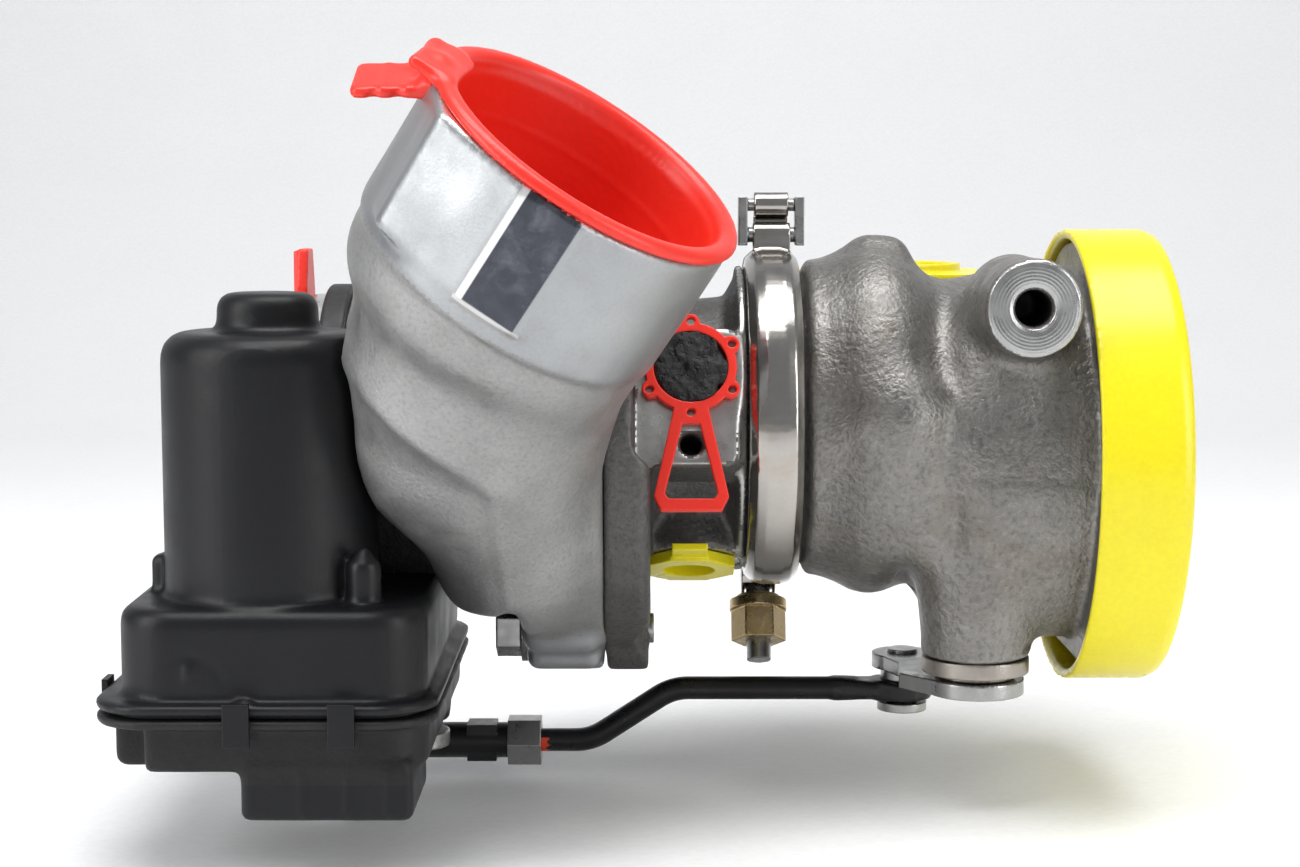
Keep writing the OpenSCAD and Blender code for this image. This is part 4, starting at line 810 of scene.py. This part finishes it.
def turbine_openings(cut):
    # flange face
    cut(box((20, 20.3, 25), (110, 90, 60)), (31, 20, 24), (107, 67, 38), blend=0.3)
    # wheel bore, volute and outlet chamber
    cut(turned(TURBINE_BORE, 0), (31, -26, -26), (70, 26, 26), blend=0.15)
    cut(ring(25.2, 6.4, 51), (44, -33, -33), (58, 33, 33), blend=0.4)
    cut(cylinder("x", LOBE_CENTRE, 32.5, 68, 108, 0.4), (68, -34, -41), (107, 34, 26),
        blend=0.5)
    cut(cylinder("x", LOBE_CENTRE, 34.5, 93.5, 108, 0.3), (93, -36, -43), (107, 36, 28),
        blend=0.3)
    # round port below the wheel bore
    cut(cylinder("x", (-2, -28.6), 6.5, 50, 70, 0.3), (50, -9, -36), (70, 5, -21), blend=0.3)
    # inlet duct
    cut(cylinder("z", INLET, 13, 16, 28, 0.3), (46, 28, 15), (73, 55, 28), blend=0.3)
    cut(cylinder("z", INLET, 10.6, -4, 20, 0.3), (48, 30, -5), (71, 53, 20), blend=1)
    cut(sphere((57.5, 36.5, -6), 9.5), (47, 26, -16), (68, 47, 4), blend=1)
    left, front, right, back = INLET_FLANGE
    for x in (left + FLANGE_HOLE_INSET, right - FLANGE_HOLE_INSET):
        for y in (front + FLANGE_HOLE_INSET, back - FLANGE_HOLE_INSET):
            cut(cylinder("z", (x, y), 4.25, 10, 30, 0.3), (x - 5, y - 5, 10),
                (x + 5, y + 5, 30), blend=0.3)
    # boss hole with its countersink
    cut(cylinder("y", BOSS, 3.4, -44, -25.5, 0.3), (73, -44, 18), (83, -25, 29), blend=0.3)
    cut(cylinder("y", BOSS, 5.0, -44, -41.6, 0.2, end_radius=3.2), (72, -44, 18),
        (84, -41, 30), blend=0.2)
    cut(cylinder("z", LEVER_BORE, 6.02, -46, -16, 0.2), (64, -27, -46), (79, -13, -16),
        blend=0.2)


def lobe_ledge(x, y, z):
    fade_in = np.clip((x - 66) / 3, 0, 1)
    return 0.55 * fade_in / (1 + np.exp((z + 9.5 + 0.03 * (x - 78)) / 0.35)) + 0 * y


def turbine():
    cast = Casting((31, -46, -47), (107, 67.5, 38), cell=0.66)
    turbine_solid(cast.add)
    cast.noise(10, 0.34, seed=8)
    cast.noise(3.2, 0.10, seed=9)
    cast.swell(lobe_ledge, (66, -46, -40), (92, -20, -6))
    turbine_openings(cast.cut)
    cast.soften()
    obj = cast.mesh("turbine_casting")
    centres, normals, kind = faces(obj)
    x, y, z = centres.T
    nx, ny, nz = normals.T
    boss_radius = radial(x - BOSS[0], z - BOSS[1])
    kind[(ny < -0.7) & (y < -41.2) & (boss_radius < 9.4)] = 1
    # walls of the boss hole painted near-black: painted shade inside the hole
    kind[(boss_radius < 3.5) & (y < -24) & (y > -41.0)] = 2
    # machined faces: outlet, inlet flange, bushing seat, band rim
    kind[(nx > 0.9) & (x > 104.8)] = 3
    kind[(nz > 0.9) & (z > 24.4) & (y > 20.2)] = 3
    kind[(nz < -0.9) & (z < -43.9)] = 3
    kind[(radial(y, z) > 28) & (x < 35)] = 3
    place(obj, "housings", "turbine_cast_steel",
          ["turbine_cast", "boss_turned", "hole_painted_shade", "heat_alloy"], "turbine_housing", kind)


# ---------------------------------------------------------------- actuator housing and cover
LEFT, RIGHT, FRONT, BACK = -86.9, -29.6, -70.0, 13.0


def inset_slab(left, front, right, back, *rest):
    """Slab set in from the actuator's four sides. Negative insets reach outward."""
    return slab(LEFT + left, FRONT + front, RIGHT - right, BACK - back, *rest)


def front_arc(x, y, z):
    arc = np.abs(radial(x + 70.8, z + 41.0) - 6.0) - 0.35
    return np.maximum(np.maximum(arc, np.abs(y + 68.6) - 0.28), -41.2 - z)


def actuator_body():
    cast = Casting((-90, -73.2, -46), (-26.5, 16, 28), cell=0.62)
    add, cut = cast.add, cast.cut
    add(inset_slab(2.6, 1.4, 0.8, 1, 10, -44, -27, 3.4), blend=0.6)
    add(inset_slab(-1.6, -1.4, -1.4, -1.4, 11, -45, -43, 0.7), blend=1.2)
    # can with its raised top
    add(cylinder("z", CAN, 19, -34, 20, 5.5), (-80, -67, -36), (-39, -27, 21), blend=1.6)
    add(cylinder("z", CAN, 9, 14, 26.8, 3.5), (-70, -58, 14), (-49, -36, 27), blend=2.2)
    # pointed post at the front right
    add(cylinder("z", (-41.4, -60), 3.0, -30, -19.6, 0.4), (-46, -64, -31), (-37, -56, -16),
        blend=0.7)
    add(cylinder("z", (-41.4, -60), 2.9, -20, -17.1, 0.2, end_radius=0.6),
        (-46, -64, -22), (-37, -56, -16), blend=0.2)
    # half-round groove in the front wall, its nub and a small block on the lower edge
    cut(front_arc, (-78, -69.2, -41.2), (-63, -68.0, -34), blend=0.1)
    add(capsule((-70.8, -68.3, -37.0), (-70.8, -68.3, -38.8), 1.0), (-73, -70, -41),
        (-69, -65, -35), blend=0.4)
    add(box((-62.5, -70.2, -46), (-59.7, -66, -42.2), 0.4), (-63, -71, -46), (-59, -65, -41),
        blend=0.4)
    # tab left of the can and two ribs across the top
    add(box((-81, -49.6, -31), (-78, -44.4, -20.4), 0.8), (-82, -50, -31), (-77, -44, -20),
        blend=1)
    for y in (-18, -2):
        add(box((-84, y - 0.9, -30), (-31.5, y + 0.9, -26.9), 0.3), (-84, y - 2, -31),
            (-31, y + 2, -26), blend=0.6)
    cast.noise(16, 0.05, seed=12)
    # hollow inside, and two holes at the right
    cut(inset_slab(4.8, 3.8, 2.2, 3.2, 8, -48, -29.6, 0.3), blend=0.3)
    cut(cylinder("z", CAN, 17, -32, 18, 0.3), (-78, -65, -33), (-41, -29, 19), blend=0.3)
    cut(cylinder("z", CAN, 5, 16, 24.5, 0.3), (-66, -53, 16), (-53, -41, 25), blend=0.3)
    for y in (-12, 2):
        cut(cylinder("z", (-37, y), 3.4, -31, -24, 0.2), (-42, y - 5, -32), (-32, y + 5, -23),
            blend=0.2)
    cast.soften()
    place(cast.mesh("actuator_body"), "housings", "black_plastic", ["black_plastic"],
          "actuator_housing")


def cover_body(x, y, z):
    """Cover slab with its front left corner cut away."""
    corner = box((-95, -80, -58), (LEFT + 8, FRONT + 7, -47.2))
    return smooth_max(inset_slab(1.6, 1, 0.5, 0.5, 9, -55.5, -45.8, 2.2)(x, y, z),
                      -corner(x, y, z), 0.8)


def actuator_cover():
    cast = Casting((-90, -73.2, -65.2), (-26.5, 16, -44.6), cell=0.58)
    add, cut = cast.add, cast.cut
    add(inset_slab(-1.6, -1.4, -1.4, -1.4, 11, -47.4, -45.62, 0.6), blend=0.5)
    add(cover_body, blend=0.5)
    # shroud under the front, its ribs and the ribs of the cover
    add(box((-62.4, -69, -64), (-32.4, -43, -53), 1.6), (-63, -70, -64), (-32, -42, -52),
        blend=1.0)
    for x in (-52, -44, -37):
        add(box((x, -69.5, -63.4), (x + 0.9, -66, -55), 0.25), (x - 1, -70, -64),
            (x + 2, -65, -54), blend=0.3)
    for y in (-25, -10, 3):
        add(box((-72, y - 0.8, -56.7), (-36, y + 0.8, -54), 0.3), (-73, y - 2, -57),
            (-35, y + 2, -53), blend=0.5)
    # boss of the output bushing
    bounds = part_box("output_bushing")
    x, y, _ = (bounds[0] + bounds[1]) * 500
    add(cylinder("z", (x, y), 6.4, -57, -50, 0.5), (x - 7, y - 7, -58), (x + 7, y + 7, -49),
        blend=1)
    cast.noise(3.0, 0.04, seed=15)
    # hollow inside, keeping clear of the cut corner
    cut(inset_slab(4.4, 10, 3, 3, 6, -53.4, -44, 0.3), blend=0.3)
    cut(inset_slab(10.6, 3.8, 3, 3.2, 6, -53.4, -44, 0.3), blend=0.3)
    cut(box((-64, -67, -62.2), (-40, -45, -57.2), 0.8), (-65, -68, -63), (-39, -44, -56),
        blend=0.3)
    cut(cylinder("z", (x, y), 5.03, -66, -44, 0.2), (x - 7, y - 7, -66), (x + 7, y + 7, -44),
        blend=0.2)
    cast.soften()
    obj = cast.mesh("actuator_lower_cover")
    centres, _, kind = faces(obj)
    kind[centres[:, 2] < -57.5] = 1
    place(obj, "housings", "black_plastic", ["black_plastic_rough", "black_plastic"],
          "actuator_cover", kind)


# ---------------------------------------------------------------- foam in the oil inlet
def foam():
    cast = Casting((-7.6, -7.6, -9.6), (7.6, 7.6, 4.2), cell=0.24)
    cast.add(cylinder("z", (0, 0), 6.85, -8.8, 1.9, 0.9), blend=0)
    cast.noise(0.75, 0.42, seed=21)
    cast.noise(1.9, 0.55, seed=22)
    # trim the waves at the side and the top
    cast.cut(lambda x, y, z: 6.9 - radial(x, y), blend=0)
    cast.cut(lambda x, y, z: 2.2 - z, blend=0)
    place(cast.mesh("foam_plug", OIL), "oil_plug", "foam", ["foam"], "oil_inlet_foam")


# ---------------------------------------------------------------- control rod
ROD_Y = 4
ROD_RADIUS = 2.34
ROD_START = -36.9
ROD_LOW, ROD_HIGH = -66.9, -56.1        # z of the two level runs
BENDS = np.array([-3.4, ROD_LOW]), np.array([13.2, ROD_HIGH])     # x, z
EYE = (60, ROD_Y)


def bend(corner, before, after):
    """Points of a bend of radius 11 between two directions."""
    t = 11 * math.tan(math.acos(float(before @ after)) / 2)
    a, b = corner - before * t, corner + after * t
    return [tuple((1 - s) ** 2 * a + 2 * s * (1 - s) * corner + s * s * b)
            for s in np.linspace(0, 1, 9)]


def blade(x, y, z):
    """Flattened end of the rod, widening toward the eye."""
    t = np.clip((x - 47) / 7, 0, 1)
    section = smooth_max(np.abs(y - ROD_Y) - (2.3 + 1.7 * t),
                         np.abs(z - ROD_HIGH) - (2.3 - 0.45 * t), 1.6)
    return smooth_max(section, np.abs(x - 52) - 6.5, 1.0)


def rod():
    cast = Casting((-38, -2.4, -70), (67, 10.4, -52), cell=0.30)
    slope = (BENDS[1] - BENDS[0]) / np.linalg.norm(BENDS[1] - BENDS[0])
    level = np.array([1.0, 0.0])
    path = [(ROD_START, ROD_LOW), *bend(BENDS[0], level, slope),
            *bend(BENDS[1], slope, level), (50, ROD_HIGH)]
    for (ax, az), (bx, bz) in zip(path[:-1], path[1:]):
        cast.add(capsule((ax, ROD_Y, az), (bx, ROD_Y, bz), ROD_RADIUS),
                 (min(ax, bx) - 3, ROD_Y - 3, min(az, bz) - 3),
                 (max(ax, bx) + 3, ROD_Y + 3, max(az, bz) + 3), blend=0.05)
    cast.add(blade, (44, -1, -60), (60, 9, -52), blend=0.8)
    cast.add(cylinder("z", EYE, 5.95, -57.9, -54.3, 0.7), (53, -3, -59), (67, 11, -53),
             blend=1.2)
    cast.cut(cylinder("z", EYE, 3.08, -61, -51, 0.1), (56, 0, -60), (64, 8, -52), blend=0.15)
    # square end
    cast.cut(lambda x, y, z: ROD_START - x, (-40, 0, -72), (-35, 8, -60), blend=0.2)
    obj = cast.mesh("rod_bent")
    centres, normals, kind = faces(obj)
    x, y, z = centres.T
    # dab of red paint with an uneven edge
    uneven = 0.35 * np.sin(z * 5.1) + 0.25 * np.sin(y * 7.3 + 1)
    facing = normals[:, 1] * -0.6 + normals[:, 2] * -0.6
    kind[(x > -13.9) & (x < -12.3 + uneven * 0.8) & (facing > 0.25)] = 1
    place(obj, "rod", "black_steel", ["black_steel", "paint_red"], "control_rod", kind)


# ---------------------------------------------------------------- red outlet plug
# radius, z in the outlet frame
PLUG_CUP = [
    (24.9, -20.6), (25.1, -0.9), (25.9, 1.4), (26.6, 2.2), (28.8, 2.2), (29.6, 1.3),
    (29.6, 0.15), (26.05, 0.1), (26.0, -21.6), (25.5, -22.0), (0, -22.0), (0, -20.6)]
TAB = (np.array([-40.9, -77.3, 60.4]), turn(22))
TAB_WINDOW = ((-50, -90, 52), (-20, -60, 74))


def plug():
    cast = Casting((-50, -99, 24), (32, -36, 74), cell=0.5)
    add = cast.add
    add(in_frame(turned(PLUG_CUP, 1, "z"), OUTLET), blend=0.0)
    add(in_frame(ring(25.25, 0.45, -9, "z"), OUTLET), blend=0.4)
    # hump of the rim, then the pull tab and its two roots
    add(in_frame(box((-32.4, -12.6, 0.15), (-23.8, 3.6, 2.2), 0.9), OUTLET),
        (-50, -95, 55), (-15, -50, 74), blend=1.6)
    add(in_frame(slab(0.1, 0.1, 14.6, 13.8, 1.6, -0.95, 0.95, 0.5), TAB), *TAB_WINDOW,
        blend=3.4)
    add(capsule((-28.0, -75, 62.4), (-26.5, -74.5, 65.4), 1.2), *TAB_WINDOW, blend=3.0)
    add(capsule((-29.5, -67, 65.0), (-28.0, -67, 67.6), 1.2), *TAB_WINDOW, blend=3.0)
    # ribs across the tab, with a notch beside each
    for x in (5.6, 9.6):
        add(in_frame(box((x - 0.35, 0.3, 0.4), (x + 0.35, 13.4, 1.35), 0.3), TAB),
            *TAB_WINDOW, blend=0.5)
        cast.cut(in_frame(cylinder("z", (x - 1.5, 0.0), 0.95, -3, 3, 0.1), TAB), *TAB_WINDOW,
                 blend=0.3)
    cast.soften()
    place(cast.mesh("outlet_stopper"), "outlet_plug", "red_plastic", ["red_plastic"],
          "compressor_outlet_plug")


for build in (compressor, bearing, turbine, actuator_body, actuator_cover, foam, rod, plug):
    build()

# ---------------------------------------------------------------- pieces kept from the CAD
# voxel size in mm: pieces whose edges are softened at that size
SOFTENED = {
    0.62: ["turbine_outlet_cap"],
    0.40: ["compressor_inlet_plug", "turbine_inlet_cap"],
    0.30: ["vband_front"],
    0.28: ["inlet_seal_ring", "actuator_bracket"],
    0.26: ["vband_rear"],
    0.22: ["wastegate_lever", "wastegate_bushing", "crank_lever", "compressor_bolts"],
    0.20: ["oil_drain_cap", "vband_t_bolt", "bolt_clamp_plates"],
    0.18: ["vband_link"],
    0.17: ["rod_end_sleeve"],
    0.16: ["oil_inlet_retainer", "crank_pin", "vband_nut", "vband_trunnion", "bracket_bolts"],
    0.15: ["lever_pin"],
    0.14: ["jam_nut", "cover_clips"],
}
for voxel, names in SOFTENED.items():
    for name in names:
        modifiers = NODES[name].modifiers
        remesh = modifiers.new("Remesh", "REMESH")
        remesh.mode = "VOXEL"
        remesh.voxel_size = voxel / 1000
        remesh.adaptivity = 0.0
        remesh.use_smooth_shade = True
        smooth = modifiers.new("Soften", "SMOOTH")
        smooth.factor = 0.5
        smooth.iterations = 2

# materials by piece, then by slot where the names differ
PIECE_MATERIAL = {
    "compressor_bolts": "steel", "bolt_clamp_plates": "steel_dark",
    "heat_shield": "heat_alloy", "lever_pin": "steel", "jam_nut": "steel",
    "inlet_seal_ring": "rubber"}
SLOT_MATERIAL = {
    "cast_aluminium": "alu_cast", "machined_aluminium": "alu_turned",
    "cast_iron": "iron_cast", "turbine_cast_steel": "turbine_cast",
    "stainless_band": "band_steel", "zinc_gold": "gold_zinc"}
slots = {part["node"]: part["material_slot"] for part in frame["record"]["subparts"]}
for name, obj in NODES.items():
    slot = slots[name]
    set_materials(obj, [PIECE_MATERIAL.get(name, SLOT_MATERIAL.get(slot, slot))])


# ---------------------------------------------------------------- camera, lights, floor (m)
def add_object(name, data):
    obj = bpy.data.objects.new(name, data)
    bpy.context.scene.collection.objects.link(obj)
    return obj


def lamp(name, at, aim, size, power):
    light = bpy.data.lights.new(name, "AREA")
    light.shape = "RECTANGLE"
    light.size, light.size_y = size
    light.energy = power
    obj = add_object(name, light)
    obj.location = at
    obj.rotation_euler = (Vector(aim) - Vector(at)).to_track_quat("-Z", "Y").to_euler()


def floor():
    """Sheet that runs back, bends up over a quarter circle and ends as a wall."""
    level, bend_start, bend_radius, half_width, steps = -0.0745, 0.6, 0.5, 2.2, 24
    points, quads = [], []
    for i in range(steps + 1):
        t = i / steps
        if t < 0.4:
            y, z = -1.0 + 1.6 * t / 0.4, level
        elif t < 0.8:
            a = (t - 0.4) / 0.4 * math.pi / 2
            y = bend_start + bend_radius * math.sin(a)
            z = level + bend_radius * (1 - math.cos(a))
        else:
            y = bend_start + bend_radius
            z = level + bend_radius + (t - 0.8) / 0.2 * 1.2
        points += [(-half_width, y, z), (half_width, y, z)]
        if i:
            quads.append((2 * i - 2, 2 * i - 1, 2 * i + 1, 2 * i))
    me = bpy.data.meshes.new("floor")
    me.from_pydata(points, [], quads)
    me.update()
    obj = add_object("floor", me)
    me.materials.append(MATS["floor_white"])
    for polygon in me.polygons:
        polygon.use_smooth = True


scene = bpy.context.scene
view = bpy.data.cameras.new("view")
view.lens = 63.69
view.sensor_width = 36
view.clip_start = 0.01
view.clip_end = 20
camera = add_object("view", view)
camera.location = (0.0086, -0.45748, 0.04458)
camera.rotation_euler = (rad(84), 0, 0)
scene.camera = camera
scene.view_settings.view_transform = "Standard"
lamp("key", at=(0.05, -0.10, 0.85), aim=(0, 0, 0), size=(0.9, 0.5), power=8.5)
lamp("left", at=(-0.75, -0.45, 0.35), aim=(-0.02, 0, 0), size=(0.35, 0.8), power=5.0)
lamp("right", at=(0.8, -0.5, 0.25), aim=(0.04, 0, 0), size=(0.3, 0.8), power=3.4)
world = bpy.data.worlds.new("studio")
world.use_nodes = True
scene.world = world
background = world.node_tree.nodes["Background"].inputs
background["Color"].default_value = (0.95, 0.97, 1.0, 1)
background["Strength"].default_value = 0.34
material("floor_white", (0.95, 0.95, 0.955), rough=0.5, patches=(60, 0.01), fine=(1.0, 0.002))
floor()
